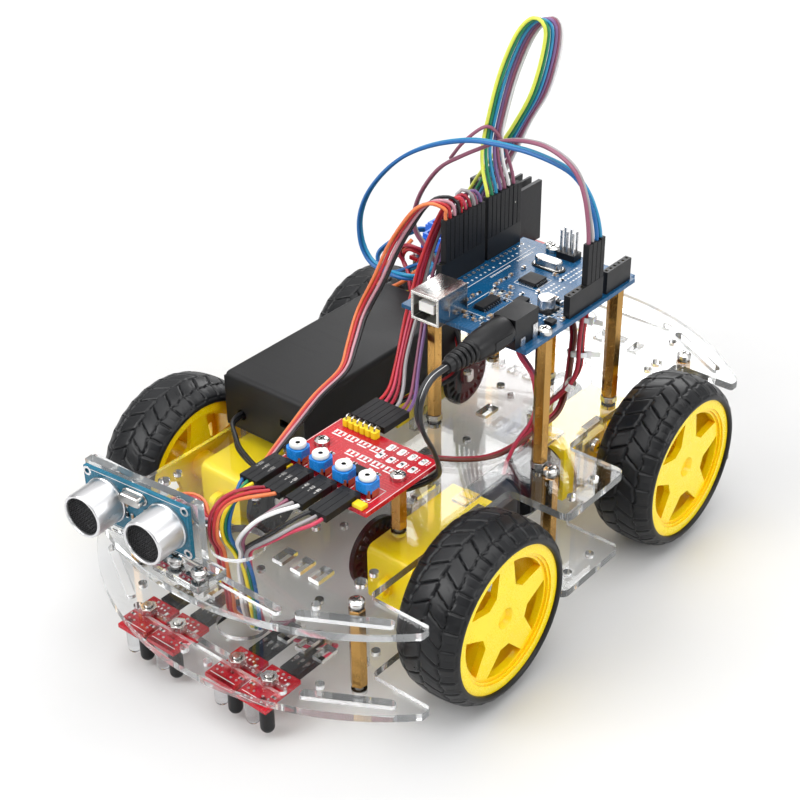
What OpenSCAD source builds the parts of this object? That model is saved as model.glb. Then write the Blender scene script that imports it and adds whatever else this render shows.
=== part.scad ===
// Four wheel robot chassis: two clear deck plates on brass standoffs, four
// geared motors with spoked wheels, and a controller, motor driver, sensor
// hub, battery pack, distance sensor and line sensors bolted to the decks.
// Millimetres. +X forward, +Y left, +Z up. The origin is the centre of the
// underside of the lower deck.

/* [Decks] */
// Height of the lower deck's underside above the ground
ride_h = 15; // [13:1:18]
// Thickness of each deck plate
deck_t = 3; // [2.5:0.5:3]
// Length of the standoffs between the decks
deck_gap = 30; // [30:1:32]
// Radius of the rounded ends of a deck
end_r = 108; // [104:1:112]
// How far each end's arc centre is from the middle
end_c = 20.3; // [18:0.1:22]
// Half of the deck width over the lugs
deck_hw = 77; // [76:1:79]
// Half of the deck width between the wheels
waist_hw = 52; // [52:1:52]

/* [Wheels] */
// Distance between the axles
wheelbase = 113; // [113:1:115]
// Distance between the wheel centres across the car
track = 140; // [140:1:142]
// Tyre outside diameter
tyre_d = 66; // [64:1:66]
// Tyre width
tyre_w = 26; // [24:1:26]
// Number of wheel spokes
spokes = 5; // [4:1:6]

/* [Motors] */
// Gearbox width
gb_w = 18.8; // [18:0.1:19]
// Gearbox height
gb_h = 22.5; // [22:0.1:23]
// Output shaft diameter
shaft_d = 5.4; // [5:0.1:5.5]
// Distance from the output shaft to the mounting holes
mount_dx = 20.3; // [20:0.1:21]
// Spacing of the two mounting holes
mount_dz = 17.5; // [17:0.1:18]

/* [Boards] */
// Length of the controller board's standoffs
ctrl_h = 50; // [48:1:52]
// Length of the sensor hub's standoffs
hub_h = 18; // [16:1:20]
// Circuit board thickness
pcb_t = 1.6; // [1.2:0.2:1.6]

/* [Hidden] */
$fn = 48;

ax = wheelbase/2;              // axle offset in X
wy = track/2;                  // wheel centre in Y
wz = tyre_d/2;                 // axle height over the ground
lo0 = ride_h; lo1 = lo0 + deck_t;            // lower deck faces
up0 = lo1 + deck_gap; up1 = up0 + deck_t;    // upper deck faces
m3 = 1.6;                      // M3 clearance radius
gy1 = 49; gy0 = gy1 - gb_w;    // gearbox faces in Y
br_x0 = ax - 28.5; br_x1 = ax - 12.5;        // bracket extent in X
cbz = up1 + 2.4 + ctrl_h;      // controller board underside
cbx = 13.2; cby = 54.2;        // controller board's front left corner
hbz = up1 + hub_h;             // hub board underside
dbz = up1 + 30;                // driver board underside
posts = [[98,52],[98,-52],[-98,52],[-98,-52],[0,57.3],[0,-57.3]];
cb_holes = [[-0.77,51.66],[-2.04,3.4],[-52.84,46.58],[-52.84,18.64]];
hb_holes = [[58,36],[58,2.5]];
db_holes = [[-54,-45.5],[-54,-8.5],[-91,-45.5],[-91,-8.5]];
ls_x = 115.5; ls_y = [-28.5,-14,14,28.5];    // line sensor screws
ds_holes = [[121,-5.5],[121,5.5]];           // distance sensor bracket screws
us_o = [121.8,-21,67]; us_yaw = 5;           // distance sensor face centre

module low() translate([0,0,-ride_h]) children();
module at_board(u,v,z=0) translate([cbx-u,cby-v,cbz+pcb_t+z]) children();

// ---------- decks ----------
function dir(v) = v/norm(v);
// rounded corner at b between a and c
function fillet(a,b,c,r,n=6) = r<=0 ? [b] : let (u=dir(a-b), v=dir(c-b), h=acos(u*v)/2,
  p=b+u*r/tan(h), q=b+v*r/tan(h), o=b+dir(u+v)*r/sin(h),
  a0=atan2(p[1]-o[1],p[0]-o[0]), a1=atan2(q[1]-o[1],q[0]-o[0]), d=((a1-a0+540)%360)-180)
  [for (k=[0:n]) o+r*[cos(a0+d*k/n),sin(a0+d*k/n)]];
// polygon from corners given as [x, y, radius]
function rounded(P) = let (n=len(P)) [for (i=[0:n-1]) let (a=P[(i+n-1)%n],b=P[i],c=P[(i+1)%n])
  each fillet([a[0],a[1]],[b[0],b[1]],[c[0],c[1]],b[2])];
module slot2d(x0,y0,x1,y1,w) {
  a = atan2(y1-y0,x1-x0); l = norm([x1-x0,y1-y0]);
  translate([x0,y0]) rotate(a) polygon(concat(
    [for (k=[0:8]) [-w/2*sin(k*22.5),w/2*cos(k*22.5)]],
    [for (k=[0:8]) [l+w/2*sin(k*22.5),-w/2*cos(k*22.5)]]));
}
tip_a = asin(deck_hw/end_r);    // where the end arc meets the lug width
well0 = 17.5; well1 = ax+35.5;  // wheel cut-outs
// corners of the front left quarter, from the nose to the side lug
quarter = concat(
  [for (k=[0:14]) [end_c+end_r*cos(tip_a*k/15),end_r*sin(tip_a*k/15),0]],
  [[end_c+end_r*cos(tip_a),deck_hw,1.6],[well1,deck_hw,1.2],[well1,waist_hw,2],[well0,waist_hw,3],[well0,deck_hw,3]]);
nq = len(quarter);
outline = rounded(concat(quarter,
  [for (i=[nq-1:-1:0]) [-quarter[i][0],quarter[i][1],quarter[i][2]]],
  [for (i=[1:nq-1]) [-quarter[i][0],-quarter[i][1],quarter[i][2]]],
  [for (i=[nq-1:-1:1]) [quarter[i][0],-quarter[i][1],quarter[i][2]]]));
module deck2d() difference() {
  polygon(outline);
  for (p=posts) translate(p) circle(m3);
  // bracket tab slots and edge notches
  for (sx=[-1,1],sy=[-1,1]) {
    translate([sx*(ax-20.5)-5.1,sy*(gy0-1.5)-1.6]) square([10.2,3.2]);
    translate([sx*(ax-20.5)-5.1,sy*(gy1+4)-4.1]) square([10.2,8.2]);
  }
  for (s=[-1,1]) {
    slot2d(s*ls_x,-34,s*ls_x,34,3.4);
    for (t=[-1,1]) {
      slot2d(s*112.5,t*41,s*98.5,t*66,3.4);
      for (y=[17,25,33]) translate([s*93.5-3.8,t*y-2.2]) square([7.6,4.4]);
      translate([s*19-4,t*15-2.3]) square([8,4.6]);
      translate([s*7,t*71]) circle(m3);
      translate([s*88.5,t*45.5]) circle(2.2);
      translate([s*82,t*45.5]) circle(m3);
      translate([s*106,t*42]) circle(m3);
      translate([s*37,t*8]) circle(m3);
      translate([s*75,t*14]) circle(m3);
    }
    translate([s*98,0]) circle(9.5);
  }
  for (p=ds_holes) { translate(p) circle(m3); translate([-p[0],p[1]]) circle(m3); }
}
module upper_deck() color([0.86,0.91,0.93,0.5]) low() translate([0,0,up0]) linear_extrude(deck_t) difference() {
  deck2d();
  for (p=concat(cb_holes,hb_holes,db_holes)) translate(p) circle(m3);
}
module lower_deck() color([0.86,0.91,0.93,0.5]) low() translate([0,0,lo0]) linear_extrude(deck_t) deck2d();

// ---------- fasteners ----------
module post(p,z,l) translate([p[0],p[1],z]) difference() {
  cylinder(h=l,r=5.5/sqrt(3),$fn=6);
  translate([0,0,-1]) cylinder(h=l+2,r=m3);
}
module hex_standoffs() color("goldenrod") low() {
  for (p=posts) post(p,lo1,deck_gap);
  for (p=cb_holes) post(p,up1+2.4,ctrl_h);
  for (p=hb_holes) post(p,up1,hub_h);
  for (p=db_holes) post(p,up1,30);
}
// pan head screw, head above the origin, shank downwards
module screw(l=8,hr=2.7) difference() {
  union() {
    cylinder(h=1.5,r=hr); translate([0,0,1.5]) cylinder(h=0.6,r1=hr,r2=hr-0.9);
    translate([0,0,-l]) cylinder(h=l+0.1,r=1.5);
  }
  for (a=[0,90]) rotate(a) translate([-1.6,-0.35,1.1]) cube([3.2,0.7,2]);
}
module down(p,z,l=8) translate([p[0],p[1],z]) screw(l);
module up(p,z,l=8) translate([p[0],p[1],z]) mirror([0,0,1]) screw(l);
module machine_screws() color("silver") low() {
  for (p=posts) { down(p,up1); up(p,lo0); }
  for (p=cb_holes) up(p,up0);
  for (i=[0,2,3]) down(cb_holes[i],cbz+pcb_t);
  for (p=hb_holes) { up(p,up0); down(p,hbz+pcb_t); }
  for (p=db_holes) { up(p,up0); down(p,dbz+pcb_t); }
  for (p=ds_holes) down(p,up1+3,10);
  for (y=ls_y) up([ls_x,y],lo0-pcb_t);
  for (sx=[-1,1],sy=[-1,1],k=[-1,1])
    translate([sx*(ax-mount_dx),sy*(gy1+3),wz+k*mount_dz/2]) rotate([sy*-90,0,0]) screw(30);
}
module nut() difference() { cylinder(h=2.4,r=5.5/sqrt(3),$fn=6); translate([0,0,-1]) cylinder(h=5,r=m3); }
module hex_nuts() color("silver") low() {
  for (p=cb_holes) translate([p[0],p[1],up1]) nut();
  for (p=ds_holes) translate([p[0],p[1],up0-2.4]) nut();
  for (y=ls_y) translate([ls_x,y,lo1]) nut();
  for (sx=[-1,1],sy=[-1,1],k=[-1,1])
    translate([sx*(ax-mount_dx),sy*(gy0-3),wz+k*mount_dz/2]) rotate([sy*90,0,0]) nut();
}

// ---------- motors ----------
module bracket() {
  // upright acrylic plate in the X-Z plane, thickness along +Y from 0
  rotate([90,0,0]) mirror([0,0,1]) linear_extrude(3) difference() {
    union() {
      translate([br_x0,lo1]) square([br_x1-br_x0,deck_gap]);
      translate([ax-25.5,lo0]) square([10,2*deck_t+deck_gap]);
    }
    for (k=[-1,1]) translate([ax-mount_dx,wz+k*mount_dz/2]) circle(m3);
  }
}
module motor_brackets() color([0.86,0.91,0.93,0.5]) low()
  for (sx=[0,1],sy=[0,1]) mirror([sx,0,0]) mirror([0,sy,0]) { translate([0,gy1,0]) bracket(); translate([0,gy0-3,0]) bracket(); }
gb_f = 11.3; gb_b = 35.5;      // shell ends in front of and behind the shaft
module shell() {
  difference() {
    union() {
      difference() {
        union() {
          translate([ax-gb_b,gy0,wz-gb_h/2]) cube([gb_b+gb_f-3,gb_w,gb_h]);
          translate([ax+gb_f-3.1,gy0,wz-gb_h/2+3]) cube([3.1,gb_w,gb_h-6]);
          for (k=[-1,1]) translate([ax+gb_f-3,gy0,wz+k*(gb_h/2-3)]) rotate([-90,0,0]) cylinder(h=gb_w,r=3);
        }
        // gear chamber
        translate([ax-14.6,gy0+1.6,wz-gb_h/2+1.6]) cube([gb_f+12.8,gb_w-3.2,gb_h-3.2]);
        // motor socket
        intersection() {
          translate([ax-gb_b-1,gy0+gb_w/2,wz]) rotate([0,90,0]) cylinder(h=10.1,r=10.1);
          translate([ax-gb_b-1,gy0+gb_w/2-7.8,wz-11]) cube([10.1,15.6,22]);
        }
      }
      // front tab
      translate([ax+gb_f-0.1,gy0+gb_w/2-1.25,wz-2.5]) cube([2.6,2.5,5]);
      translate([ax+gb_f+2.5,gy0+gb_w/2+1.25,wz]) rotate([90,0,0]) cylinder(h=2.5,r=2.5);
      // shaft collars
      for (y=[gy0-0,gy1-1.6]) translate([ax,y,wz]) rotate([-90,0,0]) cylinder(h=1.6,r=4.5);
    }
    translate([ax,gy0-2,wz]) rotate([-90,0,0]) cylinder(h=gb_w+4,r=shaft_d/2+0.05);
    translate([ax+gb_f+2.5,gy0,wz]) rotate([-90,0,0]) cylinder(h=gb_w,r=1.5);
    for (k=[-1,1]) translate([ax-mount_dx,gy0-1,wz+k*mount_dz/2]) rotate([-90,0,0]) cylinder(h=gb_w+2,r=m3);
  }
  // strap hooks above and below the motor socket
  for (k=[-1,1]) translate([ax-gb_b+3,gy0+gb_w/2-2,wz+k*(gb_h/2+0.5)-1]) cube([2,4,2]);
}
module gearbox_shells() color("gold") low() for (sx=[0,1],sy=[0,1]) mirror([sx,0,0]) mirror([0,sy,0]) shell();
can_x0 = ax-gb_b-15.5;          // motor can's free end
module can() intersection() {
  translate([can_x0,gy0+gb_w/2,wz]) rotate([0,90,0]) cylinder(h=24.4,r=10.05);
  translate([can_x0-1,gy0+gb_w/2-7.7,wz-11]) cube([30,15.4,22]);
}
module motor_cans() color("silver") low() for (sx=[0,1],sy=[0,1]) mirror([sx,0,0]) mirror([0,sy,0]) can();
module end_cap() {
  intersection() {
    translate([can_x0-2.2,gy0+gb_w/2,wz]) rotate([0,90,0]) cylinder(h=2.2,r=9.6);
    translate([can_x0-3,gy0+gb_w/2-7.4,wz-11]) cube([6,14.8,22]);
  }
  translate([can_x0-2.6,gy0+gb_w/2,wz]) rotate([0,90,0]) cylinder(h=0.5,r=3);
}
module motor_end_caps() color("black") low() for (sx=[0,1],sy=[0,1]) mirror([sx,0,0]) mirror([0,sy,0]) end_cap();
// clear band from the shell's hooks round the free end of the motor
module strap() translate([0,gy0+gb_w/2,wz]) difference() {
  translate([can_x0-3.9,-3.2,-12.5]) cube([28.4,6.4,25]);
  translate([can_x0-2.9,-4,-11.4]) cube([40,8,22.8]);
  // eyes over the shell's hooks
  for (k=[-1,1]) translate([ax-gb_b+2.8,-2.2,k*12-2]) cube([2.4,4.4,4]);
}
module motor_straps() color([0.9,0.93,0.95,0.5]) low() for (sx=[0,1],sy=[0,1]) mirror([sx,0,0]) mirror([0,sy,0]) strap();

// ---------- wheels: built for the front left, then mirrored ----------
rim_y = 11.4;                   // rim face from the tyre's mid plane
module at_wheel() translate([ax,wy,wz]) rotate([-90,0,0]) children();
module tyre() at_wheel() rotate_extrude($fn=120) {
  h = tyre_w/2; R = tyre_d/2;
  difference() {
    union() {
      translate([26.06,-h+3]) square([R-26.06,2*h-6]);
      translate([26.06,-h]) square([R-3-26.06,2*h]);
      for (k=[-1,1]) translate([R-3,k*(h-3)]) circle(3);
    }
    // seats for the rim's barrel and its two lips
    translate([20,-h-1]) square([6.06,2*h+2]);
    for (k=[-1,1]) translate([20,k>0?rim_y-1.66:-h-1]) square([7.1,h+1-rim_y+1.66]);
  }
}
module double_d(r,f) intersection() { circle(r); square([2*f,4*r],center=true); }
module rim() at_wheel() {
  difference() {
    rotate_extrude($fn=120) {
      translate([23.6,-rim_y]) square([2.4,2*rim_y]);
      for (k=[-1,1]) translate([23.6,k*(rim_y-0.8)-0.8]) square([27-23.6,1.6]);
      // step inside the outer lip
      translate([22.6,rim_y-1.6]) square([1.1,1]);
      // webs
      translate([0,rim_y-4]) square([23.7,2.5]);
      translate([0,-rim_y+2]) square([23.7,2]);
    }
    // windows between the spokes through both webs
    for (i=[0:spokes-1]) rotate(i*360/spokes+90) translate([0,0,-20]) linear_extrude(40)
      polygon(concat([[12.2*cos(-11),12.2*sin(-11)],[12.2*cos(11),12.2*sin(11)]],
        [for (a=[26:-4:-26]) [21.6*cos(a),21.6*sin(a)]]));
    translate([0,0,-20]) cylinder(h=40,r=5);
  }
  // hub boss with a double flat bore
  difference() {
    union() {
      translate([0,0,-17]) cylinder(h=17+rim_y-1.6,r=5.5);
      translate([0,0,rim_y-4]) cylinder(h=2.5,r=5.6);
      translate([0,0,-rim_y+2]) cylinder(h=2,r=5.6);
    }
    translate([0,0,-18]) linear_extrude(18-10.5) double_d(shaft_d/2+0.03,1.88);
    translate([0,0,-12]) cylinder(h=8,r=1.1);
    translate([0,0,rim_y-3.2]) cylinder(h=3,r1=2.4,r2=5);
  }
}
sh1 = gy1+9.1; sh0 = gy0-9.1;   // output shaft ends
module axle() translate([ax,0,wz]) rotate([-90,0,0]) {
  translate([0,0,gy0-0.2]) cylinder(h=gb_w+0.4,r=shaft_d/2);
  for (s=[[sh0,gy0-0.1],[gy1+0.1,sh1]]) translate([0,0,s[0]]) linear_extrude(s[1]-s[0]) double_d(shaft_d/2,1.85);
  // output gear moulded on the shaft
  translate([0,0,gy0+3]) linear_extrude(4) union() {
    circle(8.3);
    for (i=[0:29]) rotate(i*12) polygon([[8,-0.62],[9.4,-0.25],[9.4,0.25],[8,0.62]]);
  }
  translate([0,0,gy0+1.8]) cylinder(h=1.3,r=4);
  translate([0,0,gy0+6.9]) cylinder(h=gb_w-6.9-1.8,r=4);
}
module disc() translate([ax,24.2,wz]) rotate([-90,0,0]) translate([0,0,-1]) {
  linear_extrude(2) difference() {
    circle(13);
    for (i=[0:19]) rotate(i*18) translate([8.4,-0.8]) square([3.2,1.6]);
    double_d(shaft_d/2+0.03,1.88);
  }
  translate([0,0,-1.5]) linear_extrude(1.55) difference() { circle(4.2); double_d(shaft_d/2+0.03,1.88); }
}
module put(c) mirror([c[0]=="r"?1:0,0,0]) mirror([0,c[1]=="r"?1:0,0]) children();
module tyre_at(c) color([0.08,0.08,0.08]) low() put(c) tyre();
module rim_at(c) color("gold") low() put(c) rim();
module axle_at(c) color("white") low() put(c) axle();
module disc_at(c) color([0.1,0.1,0.1]) low() put(c) disc();

// ---------- controller board ----------
module controller_board() color([0.05,0.3,0.6]) low() difference() {
  translate([cbx-68.58,cby-53.34,cbz]) linear_extrude(pcb_t) difference() {
    square([68.58,53.34]);
    // stepped rear edge
    translate([-1,-1]) square([3.5,3.5]);
    translate([-1,53.34-1.6]) square([3.5,3]);
  }
  for (p=cb_holes) translate([p[0],p[1],cbz-1]) cylinder(h=pcb_t+2,r=m3);
}
module usb_socket() color("silver") low() difference() {
  at_board(10,44.1) translate([0,0,0]) cube([16.2,12,10.9]);
  // mouth with a rounded tongue
  difference() {
    at_board(4,43) translate([0,0,1.2]) cube([12,9.8,8.5]);
    at_board(3,41) translate([0,0,4]) cube([8,5.8,3]);
  }
}
module power_jack() color([0.1,0.1,0.1]) low() difference() {
  union() {
    at_board(11.2,12.2) cube([9.6,8.9,11]);
    at_board(1.6,12.2) cube([3.4,8.9,11]);
  }
  at_board(-2.4,7.75,6.5) rotate([0,-90,0]) cylinder(h=9,r=3.1);
}
// row of n sockets whose first contact is at u, v
module socket_row(u,v,n) difference() {
  at_board(u+(n-1)*2.54+1.27,v+1.27) cube([n*2.54,2.54,8.5]);
  for (i=[0:n-1]) at_board(u+i*2.54,v,2) translate([-0.45,-0.45,0]) cube([0.9,0.9,7]);
}
module header_sockets() color([0.1,0.1,0.1]) low() {
  socket_row(27.94,2.54,8); socket_row(50.8,2.54,6);
  socket_row(18.8,50.8,10); socket_row(45.72,50.8,8);
}
module pin_block(n,m,h=8.6) {
  translate([-1.27,-1.27,0]) cube([n*2.54,m*2.54,2.5]);
  for (i=[0:n-1],j=[0:m-1]) translate([i*2.54-0.32,j*2.54-0.32,2.4]) cube([0.64,0.64,h]);
}
module pin_headers() color([0.12,0.12,0.12]) low() {
  at_board(66.17,30.38) pin_block(2,3);
  // driver input pins along its front edge
  translate([-53.2,-25.3,dbz+pcb_t]) pin_block(1,6,0.2);
  // hub board: three contact strips along the front edge
  for (i=[0:3]) translate([76.2,-2.44+i*10.16,hbz+pcb_t]) pin_block(1,3,0.2);
}
module chip(x,y,z,l,w,h) translate([x-l/2,y-w/2,z+0.3]) cube([l,w,h]);
module legs_xy(x,y,z,l,w,n,p) for (i=[0:n-1],s=[-1,1]) translate([x-(n-1)*p/2+i*p-0.2,y+(s>0?w/2-0.1:-w/2-0.9),z]) cube([0.4,1,0.6]);
module board_chips() color([0.13,0.13,0.14]) low() {
  z = cbz+pcb_t;
  chip(-28.5,27,z,7,7,1.2); legs_xy(-28.5,27,z,7,7,8,0.8);
  chip(-4.3,25,z,9.9,3.9,1.5); legs_xy(-4.3,25,z,9.9,3.9,8,1.27);
  chip(-7.2,49.6,z,3.2,3.2,1.2);
  chip(-12.5,33.5,z,4.9,3.9,1.5);
  // hub board comparator
  chip(64,26,hbz+pcb_t,3.9,8.6,1.5);
  // driver: power chip standing against the heat sink
  translate([-77.3,-37,dbz+pcb_t+4]) cube([4.5,20,15]);
  translate([-76,-35.5,dbz+pcb_t]) cube([1.5,17,4.1]);
  chip(-67.5,-26.25,dbz+pcb_t,6,6,2);
  // distance sensor: receiver chip on the back
  translate(us_o) rotate(us_yaw) translate([-2.7,-5,-5.5]) cube([1,8,4]);
}
module oval_can(l,w,h) { for (s=[-1,1]) translate([s*(l-w)/2,0,0]) cylinder(h=h,r=w/2); translate([-(l-w)/2,-w/2,0]) cube([l-w,w,h]); }
module crystals_and_capacitors() color("silver") low() {
  z = cbz+pcb_t;
  translate([-41,25,z]) rotate(90) { oval_can(12.6,5,0.6); oval_can(11.2,4.1,3.6); }
  translate([-14,43,z]) { translate([-3.3,-3.3,0]) cube([6.6,6.6,1]); cylinder(h=5,r=3.1); }
  for (p=[[-68,-34.5,dbz+pcb_t],[-68,-18,dbz+pcb_t]]) translate(p) cylinder(h=11,r=4);
  translate(us_o) rotate(us_yaw) translate([0,0,6.2]) rotate([0,90,0]) rotate(90) { oval_can(10.4,4.4,0.5); oval_can(9.6,3.6,3.4); }
}
rb = [-4,8.3];                // reset switch centre, X and Y
module reset_switch_body() color("silver") low() translate([rb[0],rb[1],cbz+pcb_t]) difference() {
  translate([-3,-3,0]) cube([6,6,3.4]);
  translate([0,0,1]) cylinder(h=5,r=1.8);
}
module reset_button() color([0.7,0.1,0.1]) low() translate([rb[0],rb[1],cbz+pcb_t+1.4]) cylinder(h=3.4,r=1.7);

// ---------- motor driver ----------
db = [-94,-48.5];               // driver board's rear right corner
module driver_board() color([0.7,0.08,0.08]) low() translate([0,0,dbz]) linear_extrude(pcb_t) difference() {
  translate(db) square(43);
  for (p=db_holes) translate(p) circle(m3);
}
module heat_sink() color([0.12,0.12,0.12]) low() translate([-93.4,-38.8,dbz+pcb_t+1.8]) difference() {
  cube([16,23.6,25.2]);
  for (i=[0:4]) translate([-1,1.2+i*4.36,-1]) cube([13.6,3.2,40]);
  translate([-50,23.6/2,11]) rotate([0,90,0]) cylinder(h=100,r=1.6);
}
module terminal(n) difference() {
  union() {
    translate([-3.8,0,0]) cube([7.6,n*5.08,10]);
    translate([-2.6,0,9.9]) cube([5.2,n*5.08,1.4]);
  }
  for (i=[0:n-1]) {
    translate([0,2.54+i*5.08,6]) cylinder(h=20,r=1.8);
    translate([-10,2.54+i*5.08-1.7,1.6]) cube([9,3.4,4]);
  }
}
module screw_terminals() color([0.1,0.3,0.8]) low() {
  translate([-54.9,-42.6,dbz+pcb_t]) mirror([1,0,0]) terminal(3);
  translate([-66,-9.6,dbz+pcb_t]) rotate(-90) translate([0,-5.08,0]) terminal(2);
  translate([-66,-44.4,dbz+pcb_t]) rotate(90) translate([0,-5.08,0]) terminal(2);
}

// ---------- sensor hub ----------
module hub_board() color([0.8,0.05,0.08]) low() translate([0,0,hbz]) linear_extrude(pcb_t) difference() {
  translate([42,-3]) square([38,44]);
  for (p=hb_holes) translate(p) circle(m3);
}
module hub_header() color("gold") low() {
  translate([42.6,0.4,hbz+pcb_t]) cube([3,15.24,2.6]);
  for (i=[0:5]) translate([41,1.67+i*2.54-0.32,hbz+pcb_t+1]) cube([1.7,0.64,0.64]);
}
tk = [for (i=[0:3]) [70.5,3.1+i*10.16]];   // trimmer centres
module trimmer_bodies() color([0.1,0.35,0.8]) low() for (p=tk) translate([p[0],p[1],hbz+pcb_t]) difference() {
  union() {
    translate([-3.3,-3.3,1.4]) cube([6.6,6.6,3.2]);
    for (q=[[-2.9,0],[2.6,-2.54],[2.6,2.54]]) translate([q[0]-0.3,q[1]-0.6,0]) cube([0.6,1.2,1.5]);
  }
  translate([0,0,1.9]) cylinder(h=5,r=1.55);
}
module knob(i) color("white") low() translate([tk[i][0],tk[i][1],hbz+pcb_t]) difference() {
  union() { translate([0,0,2]) cylinder(h=3,r=1.5); translate([0,0,4.7]) cylinder(h=2.6,r=2.9); }
  translate([-2.2,-0.4,6.3]) cube([4.4,0.8,2]);
  translate([-0.4,-1.1,6.3]) cube([0.8,2.2,2]);
}

// ---------- battery pack ----------
bx0 = -42; bx1 = 48; by0 = -54.4; by1 = -15.3; bz1 = 73.6;
module battery_case() color([0.1,0.1,0.1]) low() difference() {
  // walls and top with rounded upper edges
  union() {
    translate([bx0,by0,up1+1.2]) cube([bx1-bx0,by1-by0,bz1-up1-1.2-2]);
    translate([bx0+2,by0+2,bz1-3]) cube([bx1-bx0-4,by1-by0-4,3]);
    for (y=[by0+2,by1-2]) translate([bx0+2,y,bz1-2]) rotate([0,90,0]) cylinder(h=bx1-bx0-4,r=2);
    for (x=[bx0+2,bx1-2]) translate([x,by0+2,bz1-2]) rotate([-90,0,0]) cylinder(h=by1-by0-4,r=2);
    for (x=[bx0+2,bx1-2],y=[by0+2,by1-2]) translate([x,y,bz1-2]) sphere(r=2);
  }
  translate([bx0+1.2,by0+1.2,up1]) cube([bx1-bx0-2.4,by1-by0-2.4,bz1-up1-1.4]);
  translate([bx1-3,-46.5,57.5]) rotate([0,90,0]) cylinder(h=6,r=2.1);
  translate([bx1-3,-27.2,60.5]) cube([6,4,3]);
}
module battery_lid() color([0.12,0.12,0.12]) low() translate([bx0,by0,up1]) cube([bx1-bx0,by1-by0,1.2]);
module battery_cells() color([0.3,0.5,0.75]) low() for (y=[-44,-25.7]) translate([-36,y,62.4]) rotate([0,90,0]) {
  cylinder(h=64,r=9.1); translate([0,0,63.9]) cylinder(h=1.3,r=3.2);
}

// ---------- distance sensor ----------
module us() translate(us_o) rotate(us_yaw) children();
module distance_board() color([0.05,0.4,0.5]) low() us() difference() {
  translate([-pcb_t,-22.5,-10]) cube([pcb_t,45,20]);
  for (y=[-1,1],z=[-1,1]) translate([-5,y*20.9,z*8.3]) rotate([0,90,0]) cylinder(h=10,r=0.9);
}
module distance_cans() color("silver") low() us() for (y=[-13,13]) translate([0,y,0]) rotate([0,90,0]) difference() {
  union() { cylinder(h=12.2,r=8); cylinder(h=1,r=8.3); }
  translate([0,0,11.2]) cylinder(h=3,r=6.8);
}
module distance_bracket() color([0.86,0.91,0.93,0.5]) low() difference() {
  union() {
    us() translate([-6,-24.5,-us_o[2]+up1]) cube([3,48.5,us_o[2]-up1+10]);
    translate([113.5,-11,up1]) cube([12.6,21,3]);
  }
  for (p=ds_holes) translate([p[0],p[1],up0]) cylinder(h=20,r=m3);
  us() for (y=[-13,13]) translate([-10,y,0]) rotate([0,90,0]) cylinder(h=10,r=5);
}

// ---------- line sensors ----------
module line_boards() color([0.8,0.05,0.08]) low() for (y=ls_y) translate([0,0,lo0-pcb_t]) linear_extrude(pcb_t) difference() {
  translate([107.5,y-6.5]) square([17,13]);
  translate([ls_x,y]) circle(m3);
}
module led(h) { cylinder(h=h-2.4,r=2.9-0.4); translate([0,0,h-2.4]) cylinder(h=2.4-0.01,r=2.5); translate([0,0,h]) sphere(r=2.5); }
module tube(x,y) translate([x,y,2]) { translate([0,0,2.5]) cylinder(h=lo0-pcb_t-4.5,r=2.5); translate([0,0,2.5]) sphere(r=2.5); }
module line_detectors() color([0.05,0.05,0.05]) low() for (y=ls_y) tube(120.8,y+3.2);
module line_emitters() color([0.85,0.9,0.95,0.5]) low() for (y=ls_y) tube(120.8,y-3.2);

// ---------- crimp housings and wiring ----------
function crm(a,b,c,d,t) = 0.5*((2*b)+(c-a)*t+(2*a-5*b+4*c-d)*t*t+(-a+3*b-3*c+d)*t*t*t);
// smooth path through the points P, s steps per span
function path(P,s=6) = let (n=len(P)) concat(
  [for (i=[0:n-2],k=[0:s-1]) crm(P[max(i-1,0)],P[i],P[i+1],P[min(i+2,n-1)],k/s)],[P[n-1]]);
function unit(v) = v/norm(v);
function xyz(q) = [q[0],q[1],q[2]];
function side(q,T) = let (g=[q[3],q[4],q[5]]) unit(g-T*(g*T));
// sweep the section S (points across, up) along the path Q, whose rows are x, y, z and the across direction
module sweep(Q,S) {
  n = len(Q); m = len(S);
  T = [for (i=[0:n-1]) unit(xyz(Q[min(i+1,n-1)])-xyz(Q[max(i-1,0)]))];
  pts = [for (i=[0:n-1]) let (u=side(Q[i],T[i]), w=cross(T[i],u)) for (s=S) xyz(Q[i])+u*s[0]+w*s[1]];
  faces = concat(
    [for (i=[0:n-2],j=[0:m-1]) let (a=i*m+j,b=i*m+(j+1)%m) [a,a+m,b]],
    [for (i=[0:n-2],j=[0:m-1]) let (a=i*m+j,b=i*m+(j+1)%m) [b,a+m,b+m]],
    [[for (j=[0:m-1]) j]],[[for (j=[m-1:-1:0]) (n-1)*m+j]]);
  polyhedron(points=pts,faces=faces,convexity=6);
}
function ring(r,n=6) = [for (i=[0:n-1]) [r*cos(i*360/n),r*sin(i*360/n)]];
function strip(n) = [[-n*0.635,-0.6],[n*0.635,-0.6],[n*0.635,0.6],[-n*0.635,0.6]];
// P rows are x, y, z, across x, y, z
module ribbon(P,n,s=4) sweep(path(P,s),strip(n));
module wire(P,d=1.4,g=[0.31,0.2,0.93],s=6) sweep(path([for (p=P) concat(p,g)],s),ring(d/2));

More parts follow.
